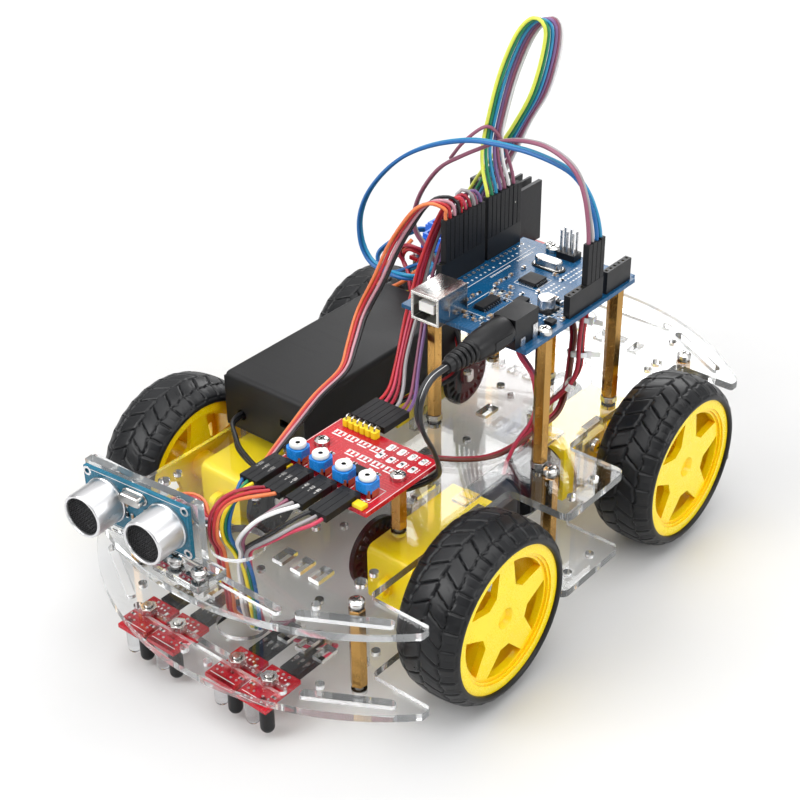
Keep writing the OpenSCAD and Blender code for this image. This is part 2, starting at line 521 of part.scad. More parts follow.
module crimp(x,y,z,l,w,h) translate([x,y,z]) cube([l,w,h]);
module crimp_housings() color([0.08,0.08,0.08]) low() {
  z = cbz+pcb_t+8.5;
  // digital rows, one housing per contact
  for (i=[1:9]) crimp(cbx-18.8-i*2.54-1.22,cby-50.8-1.22,z,2.44,2.44,16);
  for (i=[0:7]) crimp(cbx-45.72-i*2.54-1.22,cby-50.8-1.22,z,2.44,2.44,16);
  // power header
  for (i=[4:7]) crimp(cbx-27.94-i*2.54-1.22,cby-2.54-1.22,z,2.44,2.44,15);
  // hub front row, three contacts each
  for (i=[0:3]) crimp(77.6,-3.9+i*10.16,hbz+pcb_t,14,8,2.7);
  // hub rear row, four and two contacts
  crimp(27.4,0.5,hbz+pcb_t+0.2,13.5,10.1,2.6); crimp(27.4,10.7,hbz+pcb_t+0.2,13.5,5,2.6);
  // driver input pins
  crimp(-54.42,-26.52,dbz+pcb_t+2.7,2.44,15.14,14);
  // line sensors
  for (y=ls_y) crimp(92.6,y-3.9,lo0-2.9,14,7.8,2.6);
  // distance sensor connector behind its bracket
  us() translate([-20.5,-5.1,-9.6]) cube([14,10.2,2.6]);
}
module jumper_wires() color([0.3,0.7,0.4]) low() {
  // tall loop from the controller to the driver
  ribbon([[-38.87,3.4,130.1,-1,0,0],[-38.87,3.2,133.5,-1,0,0],[-39.6,0.4,138.5,-1,0,0],[-41,-1.6,145,-1,0,0],[-42,-0.6,154.8,-1,0,0],[-43,3.4,172.1,-1,0,0],
    [-44,9.4,187.5,-1,0,0],[-45,15,194,-1,0.05,0],[-46,19.3,192.9,-1,0.05,0],[-47,18.7,183.4,-1,0.1,0],[-48,14,167.6,-0.97,0.2,0],
    [-49,6.5,154.3,-0.9,0.4,0],[-50,-1.3,140.5,-0.7,0.7,0],[-51,-9.4,126.9,-0.4,0.9,0],[-52.4,-16.4,113.3,-0.1,1,0],[-53.2,-18.8,104,0,1,0],[-53.2,-18.95,99.9,0,1,0]],6);
  // arched pairs from the power header to the driver terminals
  ribbon([[-50.6,-35.4,86.4,0,1,0],[-46,-34.5,86.8,0,1,0.3],[-36,-27.5,88.6,-0.3,1,0.4],[-26,-23.6,91.2,-0.7,0.7,0.4],[-21.3,-26,92.4,-1,0.3,0.4],[-20.6,-31,92.2,-1,0.1,0.3],[-21.3,-37.2,92,-1,0,0.2],[-21.9,-43.4,93.1,-1,0,0.1],
    [-22.5,-48,97.8,-1,0,0.1],[-23.2,-50,104,-1,0,0.1],[-23.8,-49.9,110.8,-1,0,0.1],[-24.4,-46.5,119.8,-1,0,0.1],[-25.1,-39.5,129.6,-1,0,0.1],[-25.7,-30.4,138.3,-1,0,0.1],[-26.3,-20,144.8,-1,0,0.1],
    [-26.9,-8.4,149.7,-1,0,0.1],[-27.6,3.3,152.7,-1,0,0.1],[-28.2,18.5,153.7,-1,0,0.1],[-28.8,27.2,153.3,-1,0,0.1],[-29.5,35.8,151.7,-1,0,0.1],[-30.1,41.6,149.3,-1,0,0.1],[-30.7,46.5,144,-1,0,0.1],
    [-31.1,49.6,137.5,-1,0,0],[-31.25,51.4,132,-1,0,0],[-31.25,51.66,129.3,-1,0,0]],2,3);
  ribbon([[-50.6,-29.8,86.4,0,1,0],[-46,-29.4,88.4,0,1,0.3],[-38.6,-25.2,92.8,-0.6,0.8,0.3],[-35.3,-25.9,98.4,-1,0.2,0.2],[-34.5,-30.2,102.7,-1,0,0.1],[-33.9,-32.2,108.4,-1,0,0.1],[-33.4,-30.5,116.3,-1,0,0.1],
    [-32.9,-26.1,125.1,-1,0,0.1],[-32.3,-17.9,135.5,-1,0,0.1],[-31.8,-7.2,143.1,-1,0,0.1],[-31.3,0.6,147.9,-1,0,0.1],[-30.9,8.2,152.3,-1,0,0.1],[-30.6,15.5,155.4,-1,0,0.1],[-30,23,157,-1,0,0.1],
    [-29.3,30.3,157.3,-1,0,0.1],[-28.4,37.5,155.7,-1,0,0.1],[-27.6,43.8,152,-1,0,0.1],[-26.9,47.9,145.5,-1,0,0.1],[-26.4,50.3,137.5,-1,0,0],[-26.17,51.5,132,-1,0,0],[-26.17,51.66,129.3,-1,0,0]],2,3);
}
module sensor_ribbon() color([0.8,0.4,0.2]) low()
  ribbon([[100.2,-22.9,58.7,-0.1,1,0],[96.9,-23.1,58.8,-0.1,1,0],[92,-20,60.6,0.1,1,0],[83,-14,65,0.2,1,0],[75,-10.7,69.5,0.35,0.9,0.1],[57,-9.7,75.3,0.35,0.9,0.1],[36,-17.5,77,0.3,0.9,0],[16,-26,78.8,0.2,0.95,-0.2],
    [6,-29.6,81.5,0,0.9,-0.4],[0,-28.3,86.4,-0.3,0.8,-0.4],[-1.1,-21.5,100.9,-0.6,0.7,-0.3],[-2.3,-15.2,115.9,-0.8,0.5,-0.2],[-4.2,-8.3,127.9,-1,0.3,0],[-6.6,-4,133.6,-1,0.1,0],[-9.6,0.2,136.4,-1,0,0],[-11.4,2.8,134.6,-1,0,0],[-11.95,3.4,132,-1,0,0],[-11.95,3.4,130.1,-1,0,0]],4);
module hub_leads() color([0.5,0.3,0.5]) low() {
  // from the rear row up to the controller
  ribbon([[26.9,5.6,72.1,0,1,0],[25,5.4,72.3,0,1,0],[20,3.6,74.6,0,1,0],[12,-0.8,80,0.2,1,0],[4,-4,88.5,-0.3,0.9,0.2],[-1,-4.9,96.8,-0.7,0.6,0.2],[-4,-4.3,107.1,-0.9,0.4,0.1],[-8,-3.7,116.7,-1,0.2,0],
    [-13,-2.1,127,-1,0.1,0],[-16.6,-0.2,133.4,-1,0,0],[-19.2,1.9,135.2,-1,0,0],[-20.5,3.1,133.4,-1,0,0],[-20.84,3.4,131.4,-1,0,0],[-20.84,3.4,130.1,-1,0,0]],4);
  ribbon([[26.9,13.2,72.1,0,1,0],[25,13,72.2,0,1,0],[19,10.4,73.6,0,1,0],[10,3.2,78.5,0.2,1,0],[1.2,-1.1,88.5,-0.8,0.5,0.2],[-3.6,-1.6,97.8,-0.7,0.5,0.2],[-8.5,-1.6,108.1,-0.8,0.5,0.1],
    [-14,-1.7,118.7,-1,0.2,0],[-20.5,-1,128.5,-1,0.1,0],[-24.4,0.4,133.6,-1,0,0],[-26.4,2.4,134,-1,0,0],[-27.1,3.3,132,-1,0,0],[-27.19,3.4,130.1,-1,0,0]],2);
  // line sensor leads, down through the cable holes and forward under the lower deck
  for (i=[0:3]) let (yy = 0.1+i*10.16, k=[-4.5,-1.5,1.5,4.5][i], a=[0,1,0])
    ribbon([for (q=[[92.8,yy,hbz+pcb_t+1.4],[95,yy*0.97,hbz+pcb_t+1.3],[99,yy*0.75,70],[102+k*0.3,k*1.1+0.5,60],[98.5,k*0.95,49.5],[98,k*0.95,30],[96,k*1.1,15],[90,k*1.4,9],[85,ls_y[i]*0.7,9],[86.5,ls_y[i],12.6],[90,ls_y[i],13.4],[92.2,ls_y[i],13.4]]) concat(q,a)],2);
}
module motor_leads() color([0.7,0.1,0.1]) low() for (sx=[0,1],sy=[0,1]) mirror([sx,0,0]) mirror([0,sy,0])
  wire([[4.6,35,46],[10,30,46.2],[14,22,34],[16,14,26],[10,5,22],[5,3,21]],2,[0,1,0.3],4);
module battery_lead() color([0.06,0.06,0.06]) low() {
  wire([[46,-46.5,57.5],[54,-46,57.2],[62,-38,54.5],[66,-24,53.2],[67,-4,53.2],[64,14,53.2],[58,26,53.4],[50,36,54],[46,41,62],[50,44.5,80],[54,46.4,98],[50,46.45,108],[43,46.45,111.5]],3.2,[0.1,1,0.3],5);
  // strain relief and moulded plug
  translate([15.2,46.45,cbz+pcb_t+6.5]) rotate([0,90,0]) { cylinder(h=18,r=5.2); translate([0,0,17.9]) cylinder(h=10.2,r1=3.6,r2=2.6); for (i=[0:3]) translate([0,0,19.4+i*2.2]) cylinder(h=1.1,r=3.9-i*0.25); translate([0,0,-8]) cylinder(h=8.1,r=2.75); }
}

upper_deck();
lower_deck();
hex_standoffs();
machine_screws();
hex_nuts();
motor_brackets();
gearbox_shells();
motor_cans();
motor_end_caps();
motor_straps();
tyre_at("fl");  // tyre_fl
rim_at("fl");  // rim_fl
axle_at("fl");  // axle_fl
disc_at("fl");  // encoder_disc_fl
tyre_at("fr");  // tyre_fr
rim_at("fr");  // rim_fr
axle_at("fr");  // axle_fr
disc_at("fr");  // encoder_disc_fr
tyre_at("rl");  // tyre_rl
rim_at("rl");  // rim_rl
axle_at("rl");  // axle_rl
disc_at("rl");  // encoder_disc_rl
tyre_at("rr");  // tyre_rr
rim_at("rr");  // rim_rr
axle_at("rr");  // axle_rr
disc_at("rr");  // encoder_disc_rr
controller_board();
usb_socket();
power_jack();
header_sockets();
pin_headers();
board_chips();
crystals_and_capacitors();
reset_switch_body();
reset_button();
driver_board();
heat_sink();
screw_terminals();
hub_board();
hub_header();
trimmer_bodies();
knob(0);  // trimmer_knob_1
knob(1);  // trimmer_knob_2
knob(2);  // trimmer_knob_3
knob(3);  // trimmer_knob_4
battery_case();
battery_lid();
battery_cells();
battery_lead();
distance_board();
distance_cans();
distance_bracket();
line_boards();
line_detectors();
line_emitters();
crimp_housings();
jumper_wires();
sensor_ribbon();
hub_leads();
motor_leads();
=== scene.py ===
import bpy, math, random
import numpy as np
from mathutils import Vector, Matrix


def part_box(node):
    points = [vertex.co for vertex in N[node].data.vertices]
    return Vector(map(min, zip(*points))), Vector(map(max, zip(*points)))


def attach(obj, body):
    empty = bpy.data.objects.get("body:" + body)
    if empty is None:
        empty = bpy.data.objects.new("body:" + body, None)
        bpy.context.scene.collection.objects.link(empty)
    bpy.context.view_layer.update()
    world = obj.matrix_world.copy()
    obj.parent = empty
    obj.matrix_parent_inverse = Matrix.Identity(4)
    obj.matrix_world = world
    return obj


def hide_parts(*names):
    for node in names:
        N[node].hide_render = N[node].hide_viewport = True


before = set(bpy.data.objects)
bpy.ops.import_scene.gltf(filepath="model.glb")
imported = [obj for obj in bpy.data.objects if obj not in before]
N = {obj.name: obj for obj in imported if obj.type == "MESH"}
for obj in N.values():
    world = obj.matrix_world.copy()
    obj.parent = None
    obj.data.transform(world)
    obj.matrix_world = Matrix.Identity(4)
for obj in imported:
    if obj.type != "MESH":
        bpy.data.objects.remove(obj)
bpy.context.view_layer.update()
random.seed(11)
G = 15.0            # ground lies 15 mm under the frame's origin; everything below is in mm over the ground


def B(node):
    lo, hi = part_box(node)
    return (np.array([lo.x, lo.y, lo.z]) * 1000 + (0, 0, G), np.array([hi.x, hi.y, hi.z]) * 1000 + (0, 0, G))


# ------------------------------------------------------------------ mesh builder
class MB:
    def __init__(s):
        s.v, s.f, s.m, s.n = [], [], [], 0

    def add(s, verts, faces, mat=0, T=None):
        v = np.asarray(verts, float).reshape(-1, 3)
        if T is not None:
            v = v @ np.array(T)[:3, :3].T + np.array(T)[:3, 3]
        s.v.append(v)
        for f in faces:
            s.f.append(tuple(int(i) + s.n for i in f)); s.m.append(mat)
        s.n += len(v)
        return s

    def box(s, x0, y0, z0, x1, y1, z1, mat=0, T=None):
        v = [(x0, y0, z0), (x1, y0, z0), (x1, y1, z0), (x0, y1, z0), (x0, y0, z1), (x1, y0, z1), (x1, y1, z1), (x0, y1, z1)]
        return s.add(v, [(3, 2, 1, 0), (4, 5, 6, 7), (0, 1, 5, 4), (1, 2, 6, 5), (2, 3, 7, 6), (3, 0, 4, 7)], mat, T)

    def prism(s, pts, z0, z1, mat=0, T=None):
        n = len(pts)
        v = [(x, y, z0) for x, y in pts] + [(x, y, z1) for x, y in pts]
        f = [tuple(range(n - 1, -1, -1)), tuple(range(n, 2 * n))] + [(i, (i + 1) % n, n + (i + 1) % n, n + i) for i in range(n)]
        return s.add(v, f, mat, T)

    def lathe(s, prof, n=32, mat=0, T=None, cap=True):
        # prof: (radius, z) from bottom to top, about the z axis
        v, f = [], []
        for r, z in prof:
            for k in range(n):
                a = 2 * math.pi * k / n
                v.append((r * math.cos(a), r * math.sin(a), z))
        for i in range(len(prof) - 1):
            for k in range(n):
                a, b = i * n + k, i * n + (k + 1) % n
                f.append((a, b, b + n, a + n))
        if cap:
            f.append(tuple(range(n - 1, -1, -1)))
            f.append(tuple(range((len(prof) - 1) * n, len(prof) * n)))
        return s.add(v, f, mat, T)

    def cyl(s, x, y, z0, z1, r, n=24, mat=0, c=0.0):
        p = [(r - c, z0), (r, z0 + c), (r, z1 - c), (r - c, z1)] if c else [(r, z0), (r, z1)]
        return s.lathe(p, n, mat, Matrix.Translation((x, y, 0)))

    def tube(s, P, r, n=10, mat=0, cap=True):
        P = np.asarray(P, float)
        keep = [0] + [i for i in range(1, len(P)) if np.linalg.norm(P[i] - P[i - 1]) > 1e-6]
        P = P[keep]
        T = np.gradient(P, axis=0)
        T /= np.linalg.norm(T, axis=1)[:, None]
        u = np.cross(T[0], (0.31, 0.2, 0.93)); u /= np.linalg.norm(u)
        rr = np.broadcast_to(np.asarray(r, float), (len(P),))
        v = []
        for i in range(len(P)):
            u = u - T[i] * (u @ T[i]); u /= np.linalg.norm(u)
            w = np.cross(T[i], u)
            for k in range(n):
                a = 2 * math.pi * k / n
                v.append(P[i] + rr[i] * (u * math.cos(a) + w * math.sin(a)))
        f = [(i * n + k, i * n + (k + 1) % n, (i + 1) * n + (k + 1) % n, (i + 1) * n + k) for i in range(len(P) - 1) for k in range(n)]
        if cap:
            f += [tuple(range(n - 1, -1, -1)), tuple(range((len(P) - 1) * n, len(P) * n))]
        return s.add(v, f, mat)

    def make(s, name, body, mats, bevel=0.0, seg=2, sharp=35, replaces=(), angle=40):
        v = np.concatenate(s.v) - (0, 0, G)
        me = bpy.data.meshes.new(name)
        me.from_pydata((v / 1000).tolist(), [], s.f)
        for m in (mats if isinstance(mats, (list, tuple)) else [mats]):
            me.materials.append(m)
        me.polygons.foreach_set("material_index", s.m)
        me.polygons.foreach_set("use_smooth", [True] * len(s.f))
        me.update()
        me.set_sharp_from_angle(angle=math.radians(sharp))
        o = bpy.data.objects.new(name, me)
        bpy.context.scene.collection.objects.link(o)
        if bevel:
            b = o.modifiers.new("soft_edges", "BEVEL")
            b.width = bevel / 1000; b.segments = seg; b.limit_method = "ANGLE"; b.angle_limit = math.radians(angle); b.harden_normals = True
        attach(o, body)
        if replaces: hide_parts(*replaces)
        return o


def spline(ctrl, step=1.0, closed=False):
    """Centripetal-like Catmull-Rom through rows of any width; the first three columns are the place."""
    C = np.asarray(ctrl, float)
    out = []
    n = len(C)
    for i in range(n - 1):
        a, b, c, d = C[max(i - 1, 0)], C[i], C[i + 1], C[min(i + 2, n - 1)]
        k = max(2, int(np.linalg.norm(c[:3] - b[:3]) / step))
        for t in np.arange(k) / k:
            out.append(0.5 * (2 * b + (c - a) * t + (2 * a - 5 * b + 4 * c - d) * t * t + (-a + 3 * b - 3 * c + d) * t ** 3))
    out.append(C[-1])
    out = np.array(out)
    for _ in range(3):
        out[1:-1] = out[1:-1] * 0.5 + (out[:-2] + out[2:]) * 0.25
    return out


# ------------------------------------------------------------------ materials
def nodes_of(m):
    m.use_nodes = True
    nt = m.node_tree
    nt.nodes.clear()
    return nt, nt.nodes, nt.links


def mixc(nt, fac, a, b, blend="MIX"):
    x = nt.nodes.new("ShaderNodeMix"); x.data_type = "RGBA"; x.blend_type = blend
    for s, v in ((x.inputs[0], fac), (x.inputs[6], a), (x.inputs[7], b)):
        if isinstance(v, bpy.types.NodeSocket): nt.links.new(v, s)
        elif isinstance(v, (int, float)): s.default_value = v
        else: s.default_value = (*v[:3], 1)
    return x.outputs[2]


def math_(nt, op, a, b=0.0, c=0.0, clamp=False):
    x = nt.nodes.new("ShaderNodeMath"); x.operation = op; x.use_clamp = clamp
    for s, v in zip(x.inputs, (a, b, c)):
        if isinstance(v, bpy.types.NodeSocket): nt.links.new(v, s)
        else: s.default_value = v
    return x.outputs[0]


def ramp(nt, src, lo, hi, a=0.0, b=1.0, smooth=False):
    x = nt.nodes.new("ShaderNodeMapRange"); x.clamp = True
    if smooth: x.interpolation_type = "SMOOTHSTEP"
    nt.links.new(src, x.inputs[0])
    for i, v in enumerate((lo, hi, a, b)): x.inputs[1 + i].default_value = v
    return x.outputs[0]


def noise(nt, size, detail=3.0, rough=0.55, scale=(1, 1, 1), vec=None, off=0.0):
    """Noise whose features are about size mm, from the object's own place."""
    if vec is None:
        tc = nt.nodes.new("ShaderNodeTexCoord"); vec = tc.outputs["Object"]
    mp = nt.nodes.new("ShaderNodeMapping"); mp.inputs["Scale"].default_value = scale; mp.inputs["Location"].default_value = (off, off * 0.7, off * 1.3)
    nt.links.new(vec, mp.inputs[0])
    x = nt.nodes.new("ShaderNodeTexNoise"); x.inputs["Scale"].default_value = 1000.0 / size; x.inputs["Detail"].default_value = detail; x.inputs["Roughness"].default_value = rough
    nt.links.new(mp.outputs[0], x.inputs["Vector"])
    return x.outputs["Fac"]


def bump(nt, height, dist_mm, strength=1.0, prev=None):
    x = nt.nodes.new("ShaderNodeBump"); x.inputs["Strength"].default_value = strength; x.inputs["Distance"].default_value = dist_mm / 1000
    nt.links.new(height, x.inputs["Height"])
    if prev is not None: nt.links.new(prev, x.inputs["Normal"])
    return x.outputs[0]


def occlusion_shade_mask(nt, dist_mm, lo=0.35, hi=0.95):
    # ambient occlusion turned into a mask that is high in recesses and between parts, where painted shade goes
    x = nt.nodes.new("ShaderNodeAmbientOcclusion"); x.samples = 4; x.inputs["Distance"].default_value = dist_mm / 1000
    return ramp(nt, x.outputs["AO"], lo, hi, 1.0, 0.0)


def surface(name, col, rough=0.4, metal=0.0, var=0.12, var_size=9.0, rvar=0.08, grain=0.25, grain_mm=0.01, fine=0.08, spec=0.5,
            coat=0.0, sss=0.0, sss_col=None, occlusion_shade=0.25, occlusion_shade_col=None, occlusion_mm=2.0, stretch=(1, 1, 1), scratch=0.0, aniso=0.0, sheen=0.0, off=0.0):
    m = bpy.data.materials.new(name)
    nt, n, L = nodes_of(m)
    out = n.new("ShaderNodeOutputMaterial"); p = n.new("ShaderNodeBsdfPrincipled")
    big = noise(nt, var_size, 4, scale=stretch, off=off)
    small = noise(nt, grain, 2, scale=stretch, off=off + 3)
    c = Vector(col)
    dark = tuple(c * (1 - var)); light = tuple(min(1.0, x * (1 + var * 0.7) + var * 0.01) for x in c)
    colour = mixc(nt, ramp(nt, big, 0.3, 0.7), dark, light)
    # painted shade: the colour is darkened towards the shade colour wherever ambient occlusion finds recesses and gaps
    # between parts
    if occlusion_shade:
        colour = mixc(nt, math_(nt, "MULTIPLY", occlusion_shade_mask(nt, occlusion_mm), occlusion_shade), colour, occlusion_shade_col or tuple(c * 0.35))
    L.new(colour, p.inputs["Base Color"])
    r = math_(nt, "MULTIPLY_ADD", ramp(nt, small, 0.25, 0.75, -1, 1), rvar * 0.5, rough)
    r = math_(nt, "MULTIPLY_ADD", ramp(nt, big, 0.3, 0.7, -1, 1), rvar * 0.5, r, True)
    nrm = bump(nt, small, grain_mm, 0.6)
    if fine: nrm = bump(nt, noise(nt, var_size * 0.35, 3, off=off + 7), fine, 0.35, nrm)
    if scratch:
        s = noise(nt, 0.8, 2, scale=(1, 0.03, 0.6), off=off + 11)
        line = ramp(nt, s, 0.62, 0.66)
        nrm = bump(nt, line, 0.006, scratch, nrm)
        r = math_(nt, "MULTIPLY_ADD", line, 0.12 * scratch, r, True)
    L.new(r, p.inputs["Roughness"]); L.new(nrm, p.inputs["Normal"])
    p.inputs["Metallic"].default_value = metal
    p.inputs["Specular IOR Level"].default_value = spec
    if coat: p.inputs["Coat Weight"].default_value = coat; p.inputs["Coat Roughness"].default_value = 0.08
    if sss:
        p.inputs["Subsurface Weight"].default_value = sss; p.inputs["Subsurface Radius"].default_value = (1.0, 0.5, 0.15); p.inputs["Subsurface Scale"].default_value = 0.002
    if aniso: p.inputs["Anisotropic"].default_value = aniso
    if sheen: p.inputs["Sheen Weight"].default_value = sheen
    L.new(p.outputs[0], out.inputs[0])
    m.diffuse_color = (*col, 1)
    return m


def acrylic(name, tint=(0.95, 0.957, 0.958), rough=0.01, edge=0.2):
    m = bpy.data.materials.new(name)
    nt, n, L = nodes_of(m)
    out = n.new("ShaderNodeOutputMaterial"); p = n.new("ShaderNodeBsdfPrincipled")
    p.inputs["Base Color"].default_value = (*tint, 1); p.inputs["Transmission Weight"].default_value = 1.0; p.inputs["IOR"].default_value = 1.47
    smear = noise(nt, 14, 4)
    scr = ramp(nt, noise(nt, 1.1, 2, scale=(1, 0.04, 1)), 0.64, 0.67)
    L.new(math_(nt, "MULTIPLY_ADD", scr, 0.06, ramp(nt, smear, 0.35, 0.75, rough, rough * 4)), p.inputs["Roughness"])
    L.new(bump(nt, scr, 0.004, 0.5, bump(nt, smear, 0.05, 0.12)), p.inputs["Normal"])
    # laser cut edges: fine upright striations, milky against the polished faces
    geo = n.new("ShaderNodeNewGeometry"); sep = n.new("ShaderNodeSeparateXYZ"); L.new(geo.outputs["True Normal"], sep.inputs[0])
    side = ramp(nt, math_(nt, "ABSOLUTE", sep.outputs[2]), 0.15, 0.4, 1.0, 0.0)
    d = n.new("ShaderNodeBsdfPrincipled"); d.inputs["Base Color"].default_value = (0.66, 0.68, 0.69, 1); d.inputs["Roughness"].default_value = 0.22
    L.new(bump(nt, noise(nt, 0.35, 2, scale=(1, 1, 0.02)), 0.02, 0.6), d.inputs["Normal"])
    mx = n.new("ShaderNodeMixShader"); L.new(math_(nt, "MULTIPLY", side, edge), mx.inputs[0]); L.new(p.outputs[0], mx.inputs[1]); L.new(d.outputs[0], mx.inputs[2])
    tr = n.new("ShaderNodeBsdfTransparent"); tr.inputs[0].default_value = (*[min(1, x ** 0.25) for x in tint], 1)
    lp = n.new("ShaderNodeLightPath"); m2 = n.new("ShaderNodeMixShader")
    deep = math_(nt, "GREATER_THAN", lp.outputs["Transmission Depth"], 4.5)
    L.new(math_(nt, "MAXIMUM", deep, math_(nt, "MAXIMUM", lp.outputs["Is Shadow Ray"], lp.outputs["Is Diffuse Ray"])), m2.inputs[0]); L.new(mx.outputs[0], m2.inputs[1]); L.new(tr.outputs[0], m2.inputs[2])
    L.new(m2.outputs[0], out.inputs[0])
    return m


def board(name, col, track=0.35, off=0.0):
    """Solder mask with faint copper tracks, a ground pour and tented vias under it."""
    m = bpy.data.materials.new(name)
    nt, n, L = nodes_of(m)
    out = n.new("ShaderNodeOutputMaterial"); p = n.new("ShaderNodeBsdfPrincipled")
    tc = n.new("ShaderNodeTexCoord").outputs["Object"]
    mp = n.new("ShaderNodeMapping"); mp.inputs["Location"].default_value = (off, off, 0); L.new(tc, mp.inputs[0])
    sep = n.new("ShaderNodeSeparateXYZ"); L.new(mp.outputs[0], sep.inputs[0])
    def tracks(axis, other, pitch, seed):
        w = math_(nt, "FRACT", math_(nt, "MULTIPLY", sep.outputs[axis], 1000 / pitch))
        line = ramp(nt, math_(nt, "ABSOLUTE", math_(nt, "SUBTRACT", w, 0.5)), 0.14, 0.2, 1, 0)
        v = n.new("ShaderNodeTexVoronoi"); v.distance = "CHEBYCHEV"; v.inputs["Scale"].default_value = 1000 / 9.0
        mm = n.new("ShaderNodeMapping"); mm.inputs["Location"].default_value = (seed, seed, 0); mm.inputs["Scale"].default_value = (1, 1, 0.01); L.new(mp.outputs[0], mm.inputs[0]); L.new(mm.outputs[0], v.inputs["Vector"])
        s2 = n.new("ShaderNodeSeparateColor"); L.new(v.outputs["Color"], s2.inputs[0])
        return math_(nt, "MULTIPLY", line, ramp(nt, s2.outputs[seed % 3], 0.52, 0.54))
    t = math_(nt, "MAXIMUM", tracks(0, 1, 1.27, 1), tracks(1, 0, 1.27, 2))
    v = n.new("ShaderNodeTexVoronoi"); v.inputs["Scale"].default_value = 1000 / 3.4; L.new(mp.outputs[0], v.inputs["Vector"])
    via = ramp(nt, v.outputs["Distance"], 0.1, 0.13, 1, 0)
    c = Vector(col)
    base = mixc(nt, ramp(nt, noise(nt, 20, 3, off=off), 0.3, 0.7), tuple(c * 0.86), tuple(c * 1.08))
    base = mixc(nt, math_(nt, "MULTIPLY", t, track), base, tuple(min(1, x * 1.5 + 0.02) for x in c))
    base = mixc(nt, math_(nt, "MULTIPLY", via, 0.5), base, tuple(min(1, x * 1.3 + 0.12) for x in c))
    geo = n.new("ShaderNodeNewGeometry"); s3 = n.new("ShaderNodeSeparateXYZ"); L.new(geo.outputs["Position"], s3.inputs[0])
    # painted shade: ambient occlusion darkens the solder mask in recesses and around the parts
    L.new(mixc(nt, math_(nt, "MULTIPLY", occlusion_shade_mask(nt, 1.5), 0.35), base, tuple(c * 0.3)), p.inputs["Base Color"])
    L.new(math_(nt, "MULTIPLY_ADD", noise(nt, 0.6, 3), 0.12, 0.2), p.inputs["Roughness"])
    L.new(bump(nt, math_(nt, "MAXIMUM", t, via), 0.035, 0.8, bump(nt, noise(nt, 0.25, 2), 0.004, 0.6)), p.inputs["Normal"])
    p.inputs["Coat Weight"].default_value = 0.1; p.inputs["Coat Roughness"].default_value = 0.15; p.inputs["Specular IOR Level"].default_value = 0.35
    L.new(p.outputs[0], out.inputs[0])
    return m


def tread_rubber(name):
    # the strong near-black occlusion colour is painted shade in the tread grooves
    m = surface(name, (0.0055, 0.006, 0.0072), rough=0.36, var=0.22, var_size=12, rvar=0.14, grain=0.35, grain_mm=0.014, fine=0.04, occlusion_shade=0.6, occlusion_shade_col=(0.002, 0.002, 0.0025), occlusion_mm=1.4, spec=0.34)
    return m


# the occlusion amounts and colours given to surface() below are painted shade in recesses and between parts
M = {}
M["acrylic"] = acrylic("clear_acrylic")
M["strap"] = acrylic("clear_strap", (0.93, 0.95, 0.96), 0.06, 0.1)
M["lens"] = acrylic("clear_lens", (0.93, 0.96, 0.98), 0.02, 0.1)
M["tyre"] = tread_rubber("tyre_rubber")
# the orange occlusion colour on the yellow gearboxes and rims is painted shade on their inner walls and in the spoke
# windows
M["box"] = surface("gearbox_yellow", (0.98, 0.74, 0.004), rough=0.3, var=0.03, var_size=22, rvar=0.06, grain=0.5, grain_mm=0.006, fine=0.05, sss=0.12, occlusion_shade=0.45, occlusion_shade_col=(0.85, 0.42, 0.0), occlusion_mm=3.0, coat=0.1)
M["yellow"] = surface("yellow_moulding", (0.98, 0.76, 0.003), rough=0.27, var=0.03, var_size=22, rvar=0.06, grain=0.5, grain_mm=0.006, fine=0.05, sss=0.15, occlusion_shade=0.7, occlusion_shade_col=(0.93, 0.36, 0.0), occlusion_mm=9.0, coat=0.15)
M["white"] = surface("white_moulding", (0.82, 0.82, 0.79), rough=0.35, var=0.05, occlusion_shade=0.35, occlusion_mm=1.2, sss=0.1)
M["black"] = surface("black_moulding", (0.006, 0.006, 0.007), rough=0.4, spec=0.34, var=0.3, var_size=6, rvar=0.14, grain=0.22, grain_mm=0.012, fine=0.03, occlusion_shade=0.3)
# white moulding greyed down: painted shade standing in for the knobs' moulded slot
M["knob_mark"] = surface("white_moulding_slot_shade", (0.5, 0.5, 0.5), rough=0.45, var=0.1)
M["case"] = surface("battery_case_black", (0.0065, 0.0065, 0.007), rough=0.46, spec=0.34, var=0.25, var_size=30, rvar=0.1, grain=0.3, grain_mm=0.02, fine=0.06, occlusion_shade=0.3, scratch=0.35)
M["housing"] = surface("crimp_housing_black", (0.006, 0.006, 0.0075), rough=0.5, spec=0.3, var=0.35, var_size=4, rvar=0.16, grain=0.3, grain_mm=0.01, fine=0.03, occlusion_shade=0.4, occlusion_mm=0.8)
M["brass"] = surface("brass", (0.50, 0.285, 0.085), rough=0.2, metal=1.0, var=0.2, var_size=6, rvar=0.12, grain=0.25, grain_mm=0.008, fine=0.03, occlusion_shade=0.5, occlusion_shade_col=(0.2, 0.09, 0.02), occlusion_mm=2.5, stretch=(1, 1, 0.18), scratch=0.6)
M["nickel"] = surface("nickel_plate", (0.72, 0.71, 0.69), rough=0.2, metal=1.0, var=0.12, var_size=3, rvar=0.1, grain=0.2, grain_mm=0.005, fine=0.02, occlusion_shade=0.7, occlusion_shade_col=(0.12, 0.12, 0.12), occlusion_mm=0.9)
M["can"] = surface("motor_can_steel", (0.14, 0.14, 0.15), rough=0.38, metal=1.0, var=0.12, var_size=8, rvar=0.12, grain=0.2, grain_mm=0.006, stretch=(0.1, 1, 1), occlusion_shade=0.3)
M["tin"] = surface("tinned_steel", (0.55, 0.54, 0.52), rough=0.17, metal=1.0, var=0.08, var_size=7, rvar=0.1, grain=0.3, grain_mm=0.004, fine=0.05, occlusion_shade=0.45, occlusion_shade_col=(0.2, 0.2, 0.2), scratch=0.4)
